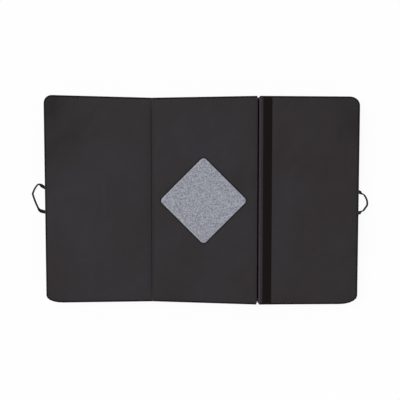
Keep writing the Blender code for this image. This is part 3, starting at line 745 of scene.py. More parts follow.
def wall_rows(cell):
    """Inset and height of each row down a side wall, from the seam to its foot."""
    rows = list(WALL_TOP)
    height = rows[-1][1] - WALL_FOOT
    count = round(height / cell)
    for index in range(1, count + 1):
        share = 1 - index / count
        fullness = min(1.0, WALL_FULLNESS * math.sin(math.pi * share) ** WALL_ROUNDNESS)
        rows.append((WALL_INSET - WALL_BULGE * fullness, WALL_FOOT + height * share))
    return rows


def cover_body(panel, sizes):
    """One panel's cover as a single skin of cells: its top sheet and its side wall.

    Returns the piece, with its seams in a vertex group, and its outline in plan.
    """
    low, high = (corner.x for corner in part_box(f"{panel}_side_wall"))
    outline = plan_outline(f"{panel}_top_sheet")
    shape = flat_sheet(outline)
    cloth = shape.loops.layers.uv.new("UVMap")
    part = shape.faces.layers.int.new("part")
    cut_into_cells(shape, sizes.cell)
    verts = shape.verts[:]
    heights = SEAM_HEIGHT + crown_height(edge_distance([vert.co for vert in verts], outline))
    for vert, height in zip(verts, heights):
        vert.co.z = height
    map_flat(shape, cloth)

    line = border_line(shape)
    places = [vert.co.xy.copy() for vert in line]
    lines, walls, pinned = [line], [], line[:]
    rows = wall_rows(sizes.cell)
    for number, (inset, height) in enumerate(rows):
        line, faces = extrude_line(shape, line)
        for vert, place in zip(line, moved_out(places, SHEET_INSET - inset)):
            vert.co = (min(max(place.x, low), high), place.y, height)
        lines.append(line)
        walls += faces
        if number < PINNED_ROWS or number == len(rows) - 1:
            pinned += line
    for face in walls:
        face[part] = 1
    heights = [SEAM_HEIGHT] + [height for _, height in rows]
    map_rows(cloth, walls, lines, heights, lengths_along(places + places[:1]))
    turn_faces(shape, UP)

    trims = trim_distance(panel, [vert.co for vert in verts])
    shape.verts.index_update()
    pins = {vert.index for vert in pinned}
    near = sizes.cell * PINNED_CELLS
    pins.update(vert.index for vert, gap in zip(verts, trims) if abs(gap) < near)
    body = new_piece(f"{panel}_cover_body", shape, "cover", "cover")
    group = body.vertex_groups.new(name="seams")
    group.add(range(len(body.data.vertices)), sizes.grip, "REPLACE")
    group.add(sorted(pins), 1, "REPLACE")
    return body, outline


def settle(body, sizes):
    """Lets the cover swell against its seams as cloth. Returns where its points came to rest."""
    cloth = body.modifiers.new("fabric", "CLOTH")
    cloth.point_cache.frame_start = 1
    cloth.point_cache.frame_end = sizes.frames
    cloth.settings.vertex_group_mass = "seams"
    cloth.settings.mass = FABRIC_MASS
    cloth.settings.use_pressure = True
    cloth.settings.uniform_pressure_force = sizes.pressure
    cloth.settings.effector_weights.gravity = 0
    cloth.settings.shrink_min = cloth.settings.shrink_max = -sizes.ease
    cloth.settings.bending_stiffness = sizes.stiffness
    cloth.collision_settings.use_collision = False
    for number in range(1, sizes.frames + 1):
        bpy.context.scene.frame_set(number)
    settled = body.evaluated_get(bpy.context.evaluated_depsgraph_get())
    places = np.empty(len(settled.data.vertices) * 3)
    settled.data.vertices.foreach_get("co", places)
    body.modifiers.remove(cloth)
    bpy.context.scene.frame_set(1)
    return places.reshape(-1, 3)


# How the swelling fades: how far in from the trim it is full, how little is left at a fold, and
# how far in from the seams the gathers run and are tallest
TRIM_FADE = 0.020
FOLD_SWELL = 0.0012
SWELL_START = 0.001
GATHER_REACH = 0.045
GATHER_PEAK = 0.010
END_SIDES_FROM = 0.53


def cap_swelling(panel, body, rest, settled, outline, sizes):
    """Keeps the swollen cover outside the foam, off its trim and inside its limit.

    Fabric that the foam holds up goes no lower. Small gathers run in from the outer seams.
    """
    normals = np.empty(len(rest) * 3)
    body.data.vertices.foreach_get("normal", normals)
    normals = normals.reshape(-1, 3)
    on_top = rest[:, 2] >= SEAM_HEIGHT - 0.0001
    fade = np.clip(trim_distance(panel, rest) / TRIM_FADE, 0, 1)
    rise = np.sum((settled - rest) * normals, axis=1)
    limit = np.where(on_top, sizes.swell * fade + 0.0001, sizes.wall_swell)
    at_fold = beside_fold(panel, rest[:, 0], SWELL_STOP)
    limit = np.where(at_fold, FOLD_SWELL, limit)
    rise = np.maximum((rise + np.sqrt(rise ** 2 + SWELL_START ** 2) - SWELL_START) / 2, 0)
    rise = limit * np.tanh(rise / limit)
    inward = edge_distance(rest, outline)
    for index in np.nonzero(on_top & ~at_fold & (inward > 0) & (inward < GATHER_REACH))[0]:
        place = Vector(rest[index])
        along = place.x if abs(place.y) > END_SIDES_FROM else place.y
        phase = along / sizes.pucker_pitch + 1.5 * noise.noise(place * 9)
        gather = max(math.sin(math.tau * phase), 0) * (0.4 + noise.noise(place * 14))
        window = inward[index] / GATHER_PEAK * math.exp(1 - inward[index] / GATHER_PEAK)
        rise[index] += sizes.pucker * max(gather, 0) * window * fade[index]
    return rest + normals * rise[:, None]


def take_part(body, name, part, owner, node):
    """One sewn part of the cover as its own piece."""
    shape = bmesh.new()
    shape.from_mesh(body.data)
    layer = shape.faces.layers.int["part"]
    other = [face for face in shape.faces if face[layer] != part]
    bmesh.ops.delete(shape, geom=other, context="FACES")
    return new_piece(name, shape, "cover", "cover", owner, node)


class CRASHPAD_OT_covers(bpy.types.Operator):
    """Sew the three padded covers and let their fabric settle."""

    bl_idname = "crashpad.covers"
    bl_label = "Covers"

    def execute(self, context):
        sizes = context.scene.crash_pad_sizes
        for panel, owner in PANELS.items():
            body, outline = cover_body(panel, sizes)
            rest = np.array([tuple(vert.co) for vert in body.data.vertices])
            settled = settle(body, sizes)
            places = cap_swelling(panel, body, rest, settled, outline, sizes)
            body.data.vertices.foreach_set("co", places.ravel())
            body.data.update()
            pieces = [
                take_part(body, f"{panel}_cover_{part}", number, owner, f"{panel}_{node}")
                for number, (part, node) in enumerate((("top", "top_sheet"), ("wall", "side_wall")))
            ]
            bpy.data.objects.remove(body)
            for piece in pieces:
                finish_fabric(piece, sizes.sheet)
        return {"FINISHED"}


# Underside

# Where the grooves' sides and ends lie along x and along y, and the cells there and between
GROOVE_EDGES = (
    ((-0.886, -0.868), (-0.757, -0.638), (-0.540, -0.422)),
    ((-0.464, -0.396), (-0.312, -0.288), (-0.082, -0.056), (0.340, 0.364), (0.396, 0.464)),
)
GROOVE_CELL = 0.0032
BETWEEN_GROOVES = 0.0064
GROOVE_MARGIN = 0.0058
GROOVE_SLOPE = 0.0045
BASE_CELL = 0.02


def shoulder_frames():
    """Each shoulder strap's frame under the left panel, by the strap's name."""
    return {
        name: Matrix.Translation((x, 0.350, 0)) @ Matrix.Rotation(math.radians(lean), 4, "Z")
        for name, x, lean in (("inner", -0.500, 4), ("outer", -0.680, -4))
    }


def tucked_straps():
    """Each strap's frame, its width and length in steps down it, and how deep it is pressed in."""
    shoulder = ((-0.031, 0.031, -0.420, 0.0), (-0.022, 0.022, -0.650, -0.420))
    straps = [(place, shoulder, 0.00885) for place in shoulder_frames().values()]
    for side in (1, -1):
        place = Matrix.Translation((-0.876, side * 0.430, 0))
        straps.append((place, ((0.0, 0.402, -0.025, 0.025),), 0.0046))
    return straps


def groove_height(place, straps):
    """How far the base cover is pressed up over a place, where a strap is tucked in."""
    height = 0.0
    for strap, parts, depth in straps:
        local = strap.inverted() @ place
        inside = max(
            min(local.x - left, right - local.x, local.y - front, rear - local.y)
            for left, right, front, rear in parts
        )
        height = max(height, depth * eased((inside + GROOVE_MARGIN) / GROOVE_SLOPE))
    return height


def cut_for_grooves(shape):
    """Cuts the left base into cells that are small where a groove rises or ends."""
    for axis, edges in enumerate(GROOVE_EDGES):
        places = [vert.co[axis] for vert in shape.verts]
        place, high, cuts = min(places), max(places), []
        while place < high:
            near = any(start - BETWEEN_GROOVES < place < end for start, end in edges)
            place += GROOVE_CELL if near else BETWEEN_GROOVES
            cuts.append(place)
        cut_along(shape, axis, cuts[:-1], GROOVE_CELL * CUT_SLACK)


class CRASHPAD_OT_base_covers(bpy.types.Operator):
    """Lay the tough base covers, with shallow grooves where straps are tucked in."""

    bl_idname = "crashpad.base_covers"
    bl_label = "Base covers"

    def execute(self, context):
        sizes = context.scene.crash_pad_sizes
        straps = tucked_straps()
        for panel, owner in PANELS.items():
            node = f"{panel}_base_cover"
            shape = flat_sheet(plan_outline(node))
            cloth = shape.loops.layers.uv.new("UVMap")
            if panel == "left":
                cut_for_grooves(shape)
                for vert in shape.verts:
                    vert.co.z = groove_height(vert.co, straps)
            else:
                cut_into_cells(shape, BASE_CELL)
            turn_faces(shape, -UP)
            map_flat(shape, cloth)
            piece = new_piece(f"{panel}_base_sheet", shape, "base", "base", owner, node)
            finish_fabric(piece, sizes.sheet, 0)
        return {"FINISHED"}


# Trim

PIPING_SIDES = 12
# The piping's ends at the crease: how far from its middle, and how far off they are still drawn in
CREASE_PARTING = 0.0004
CREASE_CATCH = 0.030
TRIM_STEP = 0.010
TRIM_LIFT = 0.0006
TRIM_END_INSET = 0.0005
PATCH_INSET = 0.0022
PATCH_RIM = 0.010
PATCH_ROUNDING = 0.006
PATCH_EDGE_SHARE = 0.62
PATCH_BINDING_WIDTH = 0.0076
PATCH_BINDING_THICKNESS = 0.0020
PATCH_BINDING_OUT = 0.0011

class CRASHPAD_OT_piping(bpy.types.Operator):
    """Run the piping round the outer seams."""

    bl_idname = "crashpad.piping"
    bl_label = "Piping"

    def execute(self, context):
        section = round_section(context.scene.crash_pad_sizes.piping_radius, PIPING_SIDES)
        for panel, owner in PANELS.items():
            outline = evenly(plan_outline(f"{panel}_top_sheet"), SEAM_STEP, closed=True)
            outline = moved_out(outline, SHEET_INSET - PIPING_INSET)
            line = [Vector((*place, PIPING_HEIGHT)) for place in outline]
            kept = list(~beside_fold(panel, [place.x for place in line], PIPING_STOP))
            first = next(index for index in range(len(line)) if kept[index] and not kept[index - 1])
            for run in unbroken(line[first:] + line[:first], kept[first:] + kept[:first]):
                for end, near in ((0, 1), (-1, -2)):
                    side = math.copysign(CREASE_PARTING, run[end].x - CREASE_X)
                    gap = CREASE_X + side - run[end].x
                    if abs(gap) < CREASE_CATCH:
                        run[end] += (run[end] - run[near]) * gap / (run[end].x - run[near].x)
                across = [along.cross(UP).normalized() for along in directions_along(run)]
                name = panel
                if panel == "middle":
                    name = "middle_rear" if run[0].y > 0 else "middle_front"
                shape = loft(sweep(section, run, across))
                new_piece(f"{name}_seam_piping", shape, "piping", "piping", owner, f"{name}_piping")
        return {"FINISHED"}


HINGE_HALF = 0.0135
HINGE_ROWS = 120
CREASE_GAP_HALF = 0.0030
CREASE_LIFT = 0.0008
CREASE_DIP = 0.0032
CREASE_DIP_HALF = 0.0052
CREASE_RIPPLE = 0.0004
CREASE_FADE = 0.12
CREASE_THICKNESS = 0.0007
HINGE_THICKNESS = 0.0010
HINGE_HEIGHT = 0.00005


def crease_height(offset, y):
    """Height of the crease's fabric at an offset from the fold: a valley that fades at its ends."""
    inward = min(CREASE_ENDS[1] - y, y - CREASE_ENDS[0])
    fade = min(inward / CREASE_FADE, 1)
    bank = float(crown_height(max(min(abs(offset) - CREASE_GAP_HALF, inward), 0))) + CREASE_LIFT
    dip = CREASE_DIP * fade * (2 - fade) * math.exp(-(offset / CREASE_DIP_HALF) ** 2)
    ripple = CREASE_RIPPLE * fade * noise.noise(Vector((offset * 60, y * 30, 3)))
    return SEAM_HEIGHT + bank - dip + ripple


def fold_fabric(x, parts, front, rear, height, side):
    """Fabric that runs across a fold from front to rear, its faces turned up or down."""
    rings = []
    for index in range(HINGE_ROWS + 1):
        y = front + (rear - front) * index / HINGE_ROWS
        offsets = [HINGE_HALF * step / parts for step in range(-parts, parts + 1)]
        rings.append([Vector((x + offset, y, height(offset, y))) for offset in offsets])
    shape = loft(rings, closed=False)
    turn_faces(shape, side)
    return shape


class CRASHPAD_OT_hinges(bpy.types.Operator):
    """Sew in the fabric that the panels fold on."""

    bl_idname = "crashpad.hinges"
    bl_label = "Fold fabric"

    def execute(self, context):
        front, rear = CREASE_ENDS
        shape = fold_fabric(CREASE_X, 8, front, rear, crease_height, UP)
        crease = new_piece("crease_fabric", shape, "cover", "hinge", None, "top_hinge_strip")
        finish_fabric(crease, CREASE_THICKNESS, 0)
        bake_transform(crease)

        low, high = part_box("bottom_hinge_strip")
        shape = fold_fabric(OPEN_FOLD_X, 6, low.y, high.y, lambda *_: HINGE_HEIGHT, -UP)
        hinge = new_piece("fold_base_fabric", shape, "base", "hinge", None, "bottom_hinge_strip")
        finish_fabric(hinge, HINGE_THICKNESS, 0)
        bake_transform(hinge)
        return {"FINISHED"}


def cross_rings(columns, thickness):
    """Rings of a strip that lies across the right panel, over the crown, from front to rear."""
    outline = plan_outline("right_top_sheet")
    middle = sum(columns) / len(columns)
    places = evenly(outline, 0.002, closed=True)
    near = [place.y for place in places if abs(place.x - middle) < 0.003]
    front, rear = min(near), max(near)
    count = round((rear - front) / TRIM_STEP)
    rings = []
    for index in range(count + 1):
        y = front + (rear - front) * index / count
        y = max(min(y, rear - TRIM_END_INSET), front + TRIM_END_INSET)
        places = [Vector((x, y)) for x in columns]
        heights = SEAM_HEIGHT + crown_height(edge_distance(places, outline)) + TRIM_LIFT
        lower = [Vector((*place, height)) for place, height in zip(places, heights)]
        rings.append(lower + [point + UP * thickness for point in lower[::-1]])
    return rings


class CRASHPAD_OT_fold_trim(bpy.types.Operator):
    """Sew on the hook-and-loop strip and the bound edge beside the open fold."""

    bl_idname = "crashpad.fold_trim"
    bl_label = "Open fold trim"

    def execute(self, context):
        for name, (left, right), parts, thickness, look, slot, node in (
            ("loop_pile_strip", STRIP_SIDES, 10, 0.0020, "strip", "strip", "hook_and_loop_strip"),
            ("fold_edge_binding", BOUND_SIDES, 6, 0.0010, "binding", "edge_tape",
             "bound_fold_edge"),
        ):
            columns = [left + (right - left) * step / parts for step in range(parts + 1)]
            shape = loft(cross_rings(columns, thickness))
            new_piece(name, shape, look, slot, "right_panel", node)
        return {"FINISHED"}


class CRASHPAD_OT_carpet(bpy.types.Operator):
    """Lay the carpet patch and its binding on the middle panel."""

    bl_idname = "crashpad.carpet"
    bl_label = "Carpet patch"

    def execute(self, context):
        sizes = context.scene.crash_pad_sizes
        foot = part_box("carpet_patch")[0].z
        outline = evenly(plan_outline("carpet_patch"), PATCH_STEP, closed=True)
        inner = moved_out(outline, -PATCH_INSET)
        shape = flat_sheet(inner)
        rim = shape.verts.layers.float.new("rim")
        cut_into_cells(shape, sizes.carpet_cell)
        distances = edge_distance([vert.co for vert in shape.verts], inner)
        for vert, distance in zip(shape.verts, distances):
            # How near the rim each point lies, for the carpet's painted highlight
            vert[rim] = max(1 - distance / PATCH_RIM, 0)
            tuft = noise.noise(vert.co * 260) * 0.0005 + noise.noise(vert.co * 90) * 0.0003
            edge = min(distance / PATCH_ROUNDING, 1)
            rise = (1 - PATCH_EDGE_SHARE) * math.sqrt(edge * (2 - edge))
            vert.co.z = foot + sizes.carpet_pile * (PATCH_EDGE_SHARE + rise) + tuft * edge
        line, _ = extrude_line(shape, border_line(shape))
        for vert in line:
            vert.co.z = foot
        shape.faces.new(line)
        bmesh.ops.recalc_face_normals(shape, faces=shape.faces)
        carpet = new_piece(
            "carpet_square", shape, "carpet", "carpet", "middle_panel", "carpet_patch"
        )

        height = foot + PATCH_BINDING_THICKNESS / 2
        path = [Vector((*place, height)) for place in moved_out(outline, PATCH_BINDING_OUT)]
        across = [Vector((*direction, 0)) for direction in outward(outline)]
        section = band_section(PATCH_BINDING_WIDTH, PATCH_BINDING_THICKNESS)
        rings = sweep(section, path + path[:1], across + across[:1], UP)
        shape = loft(rings, capped=False)
        bmesh.ops.remove_doubles(shape, verts=shape.verts, dist=0.00005)
        bmesh.ops.recalc_face_normals(shape, faces=shape.faces)
        new_piece("carpet_edge_binding", shape, "piping", "carpet", "middle_panel")
        return {"FINISHED"}


# Handles

HANDLE_PIVOT_X = 0.8955
HANDLE_HEIGHT = 0.0882
HANDLE_WIDTH = 0.020
HANDLE_THICKNESS = 0.0028
HANDLE_SEAM_THICKNESS = 0.0012
HANDLE_DOUBLED_FROM = 0.020
HANDLE_TWIST = 0.042
HANDLE_LEAN_SHARE = 0.15
TAB_THICKNESS = 0.0014
# Side of the pad, reach, base, middle, droop, how much of the webbing stays flat at each seam,
# and the loop as shares of reach and of half the base
HANDLES = {
    "left": (-1, 0.076, 0.139, 0.005, math.radians(10), 0.012, (
        (0.0, 1.0), (0.17, 1.10), (0.35, 1.21), (0.52, 1.25), (0.67, 1.12), (0.81, 0.91),
        (0.95, 0.59), (0.97, 0.42), (0.76, -0.22), (0.50, -0.78), (0.28, -0.94), (0.0, -1.0),
    )),
    "right": (1, 0.083, 0.121, -0.010, math.radians(38), 0.008, (
        (0.0, 1.0), (0.25, 0.90), (0.54, 0.75), (0.76, 0.51), (0.91, 0.26), (1.0, -0.04),
        (0.97, -0.32), (0.76, -0.58), (0.50, -0.85), (0.23, -0.96), (0.0, -1.0),
    )),
}
# Distance out and height of a tab, from the sheet down over the seam
TAB_PROFILE = (
    (0.8835, 0.0986), (0.8880, 0.0990), (0.8920, 0.0985), (0.8948, 0.0960), (0.8953, 0.0925),
    (0.8944, 0.0890), (0.8910, 0.0882),
)


def handle_path(end, reach, base, middle, droop, flat, shares):
    """A handle's path, the direction across it at each point, and how doubled it is there."""
    corners = []
    for out, along in shares:
        x = HANDLE_PIVOT_X + reach * out * math.cos(droop)
        z = HANDLE_HEIGHT - reach * out * math.sin(droop)
        corners.append(Vector((end * x, middle + base / 2 * along, z)))
    path = smooth_path(corners, 8)
    travelled = lengths_along(path)
    across, doubled = [], []
    for distance, along in zip(travelled, directions_along(path)):
        nearest = min(distance, travelled[-1] - distance)
        doubled.append(min(nearest / HANDLE_DOUBLED_FROM, 1.0))
        turned = eased((nearest - flat) / HANDLE_TWIST)
        outwards = UP.cross(along).normalized() * end
        upright = (UP - along * along.z).normalized()
        on_edge = upright * (1 - HANDLE_LEAN_SHARE) + outwards * HANDLE_LEAN_SHARE
        in_seam = Vector((0, -end if distance == nearest else end, 0))
        in_plan = in_seam.lerp(outwards * -end, doubled[-1]).normalized()
        side = in_plan * (1 - turned) + on_edge.normalized() * turned
        across.append(side.normalized())
    return path, across, doubled


class CRASHPAD_OT_handles(bpy.types.Operator):
    """Loop the webbing handles and the tabs that hold them."""

    bl_idname = "crashpad.handles"
    bl_label = "Handles"

    def execute(self, context):
        for side, facts in HANDLES.items():
            end, _, base, middle, *_ = facts
            path, across, doubled = handle_path(*facts)
            single, double = (
                sweep(band_section(HANDLE_WIDTH, thickness), path, across)
                for thickness in (HANDLE_SEAM_THICKNESS, HANDLE_THICKNESS)
            )
            rings = [
                [a.lerp(b, share) for a, b in zip(thin, thick)]
                for thin, thick, share in zip(single, double, doubled)
            ]
            loop, node = f"{side}_handle_loop", f"{side}_handle"
            new_piece(f"{side}_webbing_loop", loft(rings), "webbing", "webbing", loop, node)
            for flank, share in (("rear", base / 2), ("front", -base / 2)):
                corners = [Vector((end * x, middle + share, z)) for x, z in TAB_PROFILE]
                path = smooth_path(corners, 4)
                shape = straight_band(HANDLE_WIDTH, TAB_THICKNESS, path, Vector((0, end, 0)))
                name, node = f"{side}_{flank}_seam_tab", f"{side}_handle_{flank}_tab"
                new_piece(name, shape, "cover", "webbing", PANELS[side], node)
        return {"FINISHED"}


# Carrying straps

PAD_SIZE = Vector((0.062, 0.420, 0.007))
PAD_HEIGHT = 0.00505
PAD_CORNER = 0.020
PAD_RIM = 0.0024
PAD_CHANNEL = 0.060
PAD_CHANNEL_HALF = 0.004
PAD_SWELL = 0.00085
PAD_SWELL_FROM = 0.002
PAD_SWELL_REACH = 0.014
LOCK_Y = -0.4373
LOCK_COLUMNS = (-0.017, -0.0128, 0.0128, 0.017)
LOCK_ROWS = (-0.017, -0.0125, -0.00225, 0.00225, 0.0125, 0.017)
LOCK_THICKNESS = 0.0042
STRAP_THICKNESS = 0.0015
# Where the webbing turns back round the lock's bar, and how far over and under the lock it runs
BEND_Y = -0.4370
BEND_RADIUS = 0.003
BEND_RISE = 0.00315


def shoulder_pad_shape():
    """The padded stretch of a shoulder strap, quilted across, in the strap's own frame."""
    shape = bmesh.new()
    bmesh.ops.create_cube(shape, size=1)
    bmesh.ops.scale(shape, vec=PAD_SIZE, verts=shape.verts)
    drops = {edge: abs(edge.verts[0].co.z - edge.verts[1].co.z) for edge in shape.edges}
    round_edges(shape, [edge for edge in shape.edges if drops[edge] > 0.001], PAD_CORNER, 6)
    rims = [edge for edge in shape.edges if abs(edge.verts[0].co.z - edge.verts[1].co.z) < 0.0001]
    round_edges(shape, rims, PAD_RIM, 3)
    for axis, count in ((1, 84), (0, 12)):
        cuts = [PAD_SIZE[axis] * (index / count - 0.5) for index in range(1, count)]
        cut_along(shape, axis, cuts, 0.0004)
    for vert in shape.verts:
        if vert.co.z < -0.003:
            inward = min(PAD_SIZE.x / 2 - abs(vert.co.x), PAD_SIZE.y / 2 - abs(vert.co.y))
            share = min(max((inward - PAD_SWELL_FROM) / PAD_SWELL_REACH, 0), 1)
            channel = abs((vert.co.y / PAD_CHANNEL + 0.5) % 1 - 0.5) * PAD_CHANNEL
            quilted = 1 - math.exp(-(channel / PAD_CHANNEL_HALF) ** 2)
            vert.co.z -= PAD_SWELL * math.sqrt(share) * quilted
    bmesh.ops.recalc_face_normals(shape, faces=shape.faces)
    return shape


def ladder_lock_shape():
    """A ladder-lock buckle: three bars and two windows, with moulded edges."""
    shape = bmesh.new()
    bmesh.ops.create_grid(shape, x_segments=3, y_segments=5, size=0.5)
    for vert in shape.verts:
        vert.co.x = LOCK_COLUMNS[round((vert.co.x + 0.5) * 3)]
        vert.co.y = LOCK_ROWS[round((vert.co.y + 0.5) * 5)]
    middles = {face: face.calc_center_median() for face in shape.faces}
    windows = [
        face for face, middle in middles.items()
        if abs(middle.x) < 0.005 and 0.004 < abs(middle.y) < 0.012
    ]
    bmesh.ops.delete(shape, geom=windows, context="FACES")
    bmesh.ops.solidify(shape, geom=shape.faces[:], thickness=LOCK_THICKNESS)
    heights = [vert.co.z for vert in shape.verts]
    bmesh.ops.translate(shape, vec=-UP * (min(heights) + max(heights)) / 2, verts=shape.verts)
    bmesh.ops.recalc_face_normals(shape, faces=shape.faces)
    sharp = [edge for edge in shape.edges if edge.calc_face_angle(0) > 1]
    round_edges(shape, sharp, 0.0009, 3)
    return shape


def middle_height(node):
    """The height of a CAD node's middle."""
    low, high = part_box(node)
    return (low.z + high.z) / 2


class CRASHPAD_OT_shoulder_straps(bpy.types.Operator):
    """Tuck the shoulder straps, their buckles and their webbing under the left panel."""

    bl_idname = "crashpad.shoulder_straps"
    bl_label = "Shoulder straps"

    def execute(self, context):
        for name, strap in shoulder_frames().items():
            lock_z = middle_height(f"{name}_ladder_lock")
            for shape, place, piece, look, slot, node in (
                (shoulder_pad_shape(), (0, -PAD_SIZE.y / 2, PAD_HEIGHT), "padded_strap", "base",
                 "webbing", "shoulder_pad"),
                (ladder_lock_shape(), (0, LOCK_Y, lock_z), "ladder_buckle", "acetal", "buckle",
                 "ladder_lock"),
            ):
                matrix = strap @ Matrix.Translation(place)
                bmesh.ops.transform(shape, matrix=matrix, verts=shape.verts)
                node = f"{name}_{node}"
                made = new_piece(f"{name}_{piece}", shape, look, slot, "left_panel", node)
            bend = []
            for step in range(9):
                angle = math.pi / 2 - math.pi * step / 8
                y, z = BEND_Y + BEND_RADIUS * math.cos(angle), lock_z + BEND_RISE * math.sin(angle)
                bend.append(Vector((0, y, z)))
            webbing = [Vector((0, -0.6100, bend[0].z)), *bend, Vector((0, -0.4873, bend[-1].z))]
            height = middle_height(f"{name}_shoulder_anchor")
            anchor = [Vector((0, y, height)) for y in (-0.6103, -0.650)]
            for kind, line, spacing, width in (
                ("webbing", webbing, 0.008, 0.025), ("anchor", anchor, 0.004, 0.044)
            ):
                path = [strap @ point for point in evenly(line, spacing)]
                across = strap.to_3x3() @ Vector((1, 0, 0))
                shape = straight_band(width, STRAP_THICKNESS, path, across)
                piece, node = f"{name}_strap_{kind}", f"{name}_shoulder_{kind}"
                new_piece(piece, shape, "webbing", "webbing", "left_panel", node)
        return {"FINISHED"}


class CRASHPAD_OT_closing_straps(bpy.types.Operator):
    """Tuck the closing straps and their hook tips under the left panel's end."""

    bl_idname = "crashpad.closing_straps"
    bl_label = "Closing straps"

    def execute(self, context):
        for flank in ("rear", "front"):
            strap = f"{flank}_closing_strap"
            for piece, node, look in (
                ("wide_strap", strap, "webbing"), ("hook_tip", f"{flank}_closing_hook", "strip")
            ):
                low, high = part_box(node)
                middle = (low + high) / 2
                path = evenly([Vector((x, middle.y, middle.z)) for x in (low.x, high.x)], 0.010)
                shape = straight_band(high.y - low.y, high.z - low.z, path, Vector((0, 1, 0)))
                new_piece(f"{flank}_{piece}", shape, look, look, strap, node)
        return {"FINISHED"}


# Seams and foam

SEAM_MARGIN = 0.003
TOP_SEAM_INSET = 0.0035
WALL_SEAM_HEIGHTS = (0.0860, 0.0065)
STRIP_SEAM_END = 0.578
BOUND_SEAM_END = 0.575
BOUND_SEAM_INSET = 0.0013
PATCH_SEAM_OUT = 0.0018
# Left, right, front and rear sides of the boxes sewn round a shoulder pad and at its anchor
PAD_BOX = (-0.0265, 0.0265, -0.4155, -0.0045)
ANCHOR_BOX = (-0.0185, 0.0185, -0.6465, -0.6140)
QUILTING_HALF = 0.022


class CRASHPAD_OT_stitching(bpy.types.Operator):
    """Stitch the seams, the strip, the carpet and the straps."""

    bl_idname = "crashpad.stitching"
    bl_label = "Stitching"

    def execute(self, context):
        sizes = context.scene.crash_pad_sizes
        for panel, owner in PANELS.items():
            outline = evenly(plan_outline(f"{panel}_top_sheet"), SEAM_STEP, closed=True)
            inner = moved_out(outline, -TOP_SEAM_INSET)
            rows = [laid_on(surface_of(f"{panel}_cover_top"), inner + inner[:1])]
            for height in WALL_SEAM_HEIGHTS:
                rows += laid_beside(panel, outline, height)
            name = f"{panel}_seam_stitches"
            new_piece(name, stitches(rows, sizes), "thread", "cover", owner)
        rows = []
        left, right = STRIP_SIDES
        for piece, places, end in (
            ("loop_pile_strip", (left + SEAM_MARGIN, right - SEAM_MARGIN), STRIP_SEAM_END),
            ("fold_edge_binding", (BOUND_SIDES[1] - BOUND_SEAM_INSET,), BOUND_SEAM_END),
        ):
            surface = surface_of(piece)
            for x in places:
                line = evenly([Vector((x, -end)), Vector((x, end))], SEAM_STEP)
                rows.append(laid_on(surface, line))
        new_piece("fold_trim_stitches", stitches(rows, sizes), "piping", "strip", "right_panel")
        outline = evenly(plan_outline("carpet_patch"), PATCH_STEP, closed=True)
        middle = moved_out(outline, PATCH_SEAM_OUT)
        rows = [laid_on(surface_of("carpet_edge_binding"), middle + middle[:1])]
        new_piece("carpet_stitches", stitches(rows, sizes), "piping", "carpet", "middle_panel")
        self.sew_straps(sizes)
        return {"FINISHED"}

    def sew_straps(self, sizes):
        """Stitches of the straps: round and across the pads, boxes at the anchors and hook tips."""
        for name, strap in shoulder_frames().items():
            pad, anchor = surface_of(f"{name}_padded_strap"), surface_of(f"{name}_strap_anchor")
            rows = [sewn_below(pad, strap, boxed(*PAD_BOX))]
            for channel in range(1, 7):
                y = -PAD_CHANNEL * channel
                rows.append(sewn_below(pad, strap, [(-QUILTING_HALF, y), (QUILTING_HALF, y)]))
            left, right, front, rear = ANCHOR_BOX
            crossed = [(left, front), (right, rear)], [(right, front), (left, rear)]
            lines = (boxed(*ANCHOR_BOX), *crossed)
            rows += [sewn_below(anchor, strap, line) for line in lines]
            name = f"{name}_strap_stitches"
            new_piece(name, stitches(rows, sizes), "thread", "webbing", "left_panel")
        level = Matrix()
        for flank in ("rear", "front"):
            tip, strap = surface_of(f"{flank}_hook_tip"), surface_of(f"{flank}_wide_strap")
            low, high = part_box(f"{flank}_closing_hook")
            front, rear = low.y + SEAM_MARGIN, high.y - SEAM_MARGIN
            sides = boxed(low.x + SEAM_MARGIN, high.x - SEAM_MARGIN, front, rear)
            rows = [sewn_below(tip, level, sides)]
            body = f"{flank}_closing_strap"
            low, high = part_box(body)
            for y in (front, rear):
                rows.append(sewn_below(strap, level, [(low.x + 0.030, y), (high.x - 0.004, y)]))
            shape = stitches([row for row in rows if len(row) > 1], sizes)
            new_piece(f"{flank}_strap_stitches", shape, "thread", "webbing", body)


class CRASHPAD_OT_foam(bpy.types.Operator):
    """Give the foam layers inside the covers their finishes."""

    bl_idname = "crashpad.foam"
    bl_label = "Foam"

    def execute(self, context):
        layers = {"base": "closed_foam", "core": "open_foam", "top": "closed_foam"}
        for panel in PANELS:
            for layer, look in layers.items():
                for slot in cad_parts[f"{panel}_{layer}_foam"].material_slots:
                    slot.material = finish(look)
        return {"FINISHED"}


# Stage

WHITE = (1, 1, 1, 1)
# Below the straps too, which turn over at the pad's edge and hang a little lower than it
FLOOR_HEIGHT = -0.0025
FLOOR_HALF = 6
FLOOR_GLOW = 0.93
DOME_STRENGTH = 0.55
SUN_STRENGTH = 1.6
SUN_ANGLE = math.radians(35)
SUN_DIRECTION = Vector((0.62, -0.30, -1))
CAMERA_TARGET = Vector((-0.0105, 0.0045, 0.102))
CAMERA_DISTANCE = 3.0
CAMERA_TILT = math.radians(2.87)
CAMERA_LENS = 47.5
CAMERA_SENSOR = 36


def seen_directly(tree):
    """One where the camera, a reflection or a transparent surface sees it, otherwise zero."""
    rays = add_node(tree, "LightPath").node.outputs
    through = rays["Is Glossy Ray"], rays["Is Transmission Ray"]
    glossy = add_node(tree, "Math", through, operation="MAXIMUM")
    return add_node(tree, "Math", (rays["Is Camera Ray"], glossy), operation="MAXIMUM")


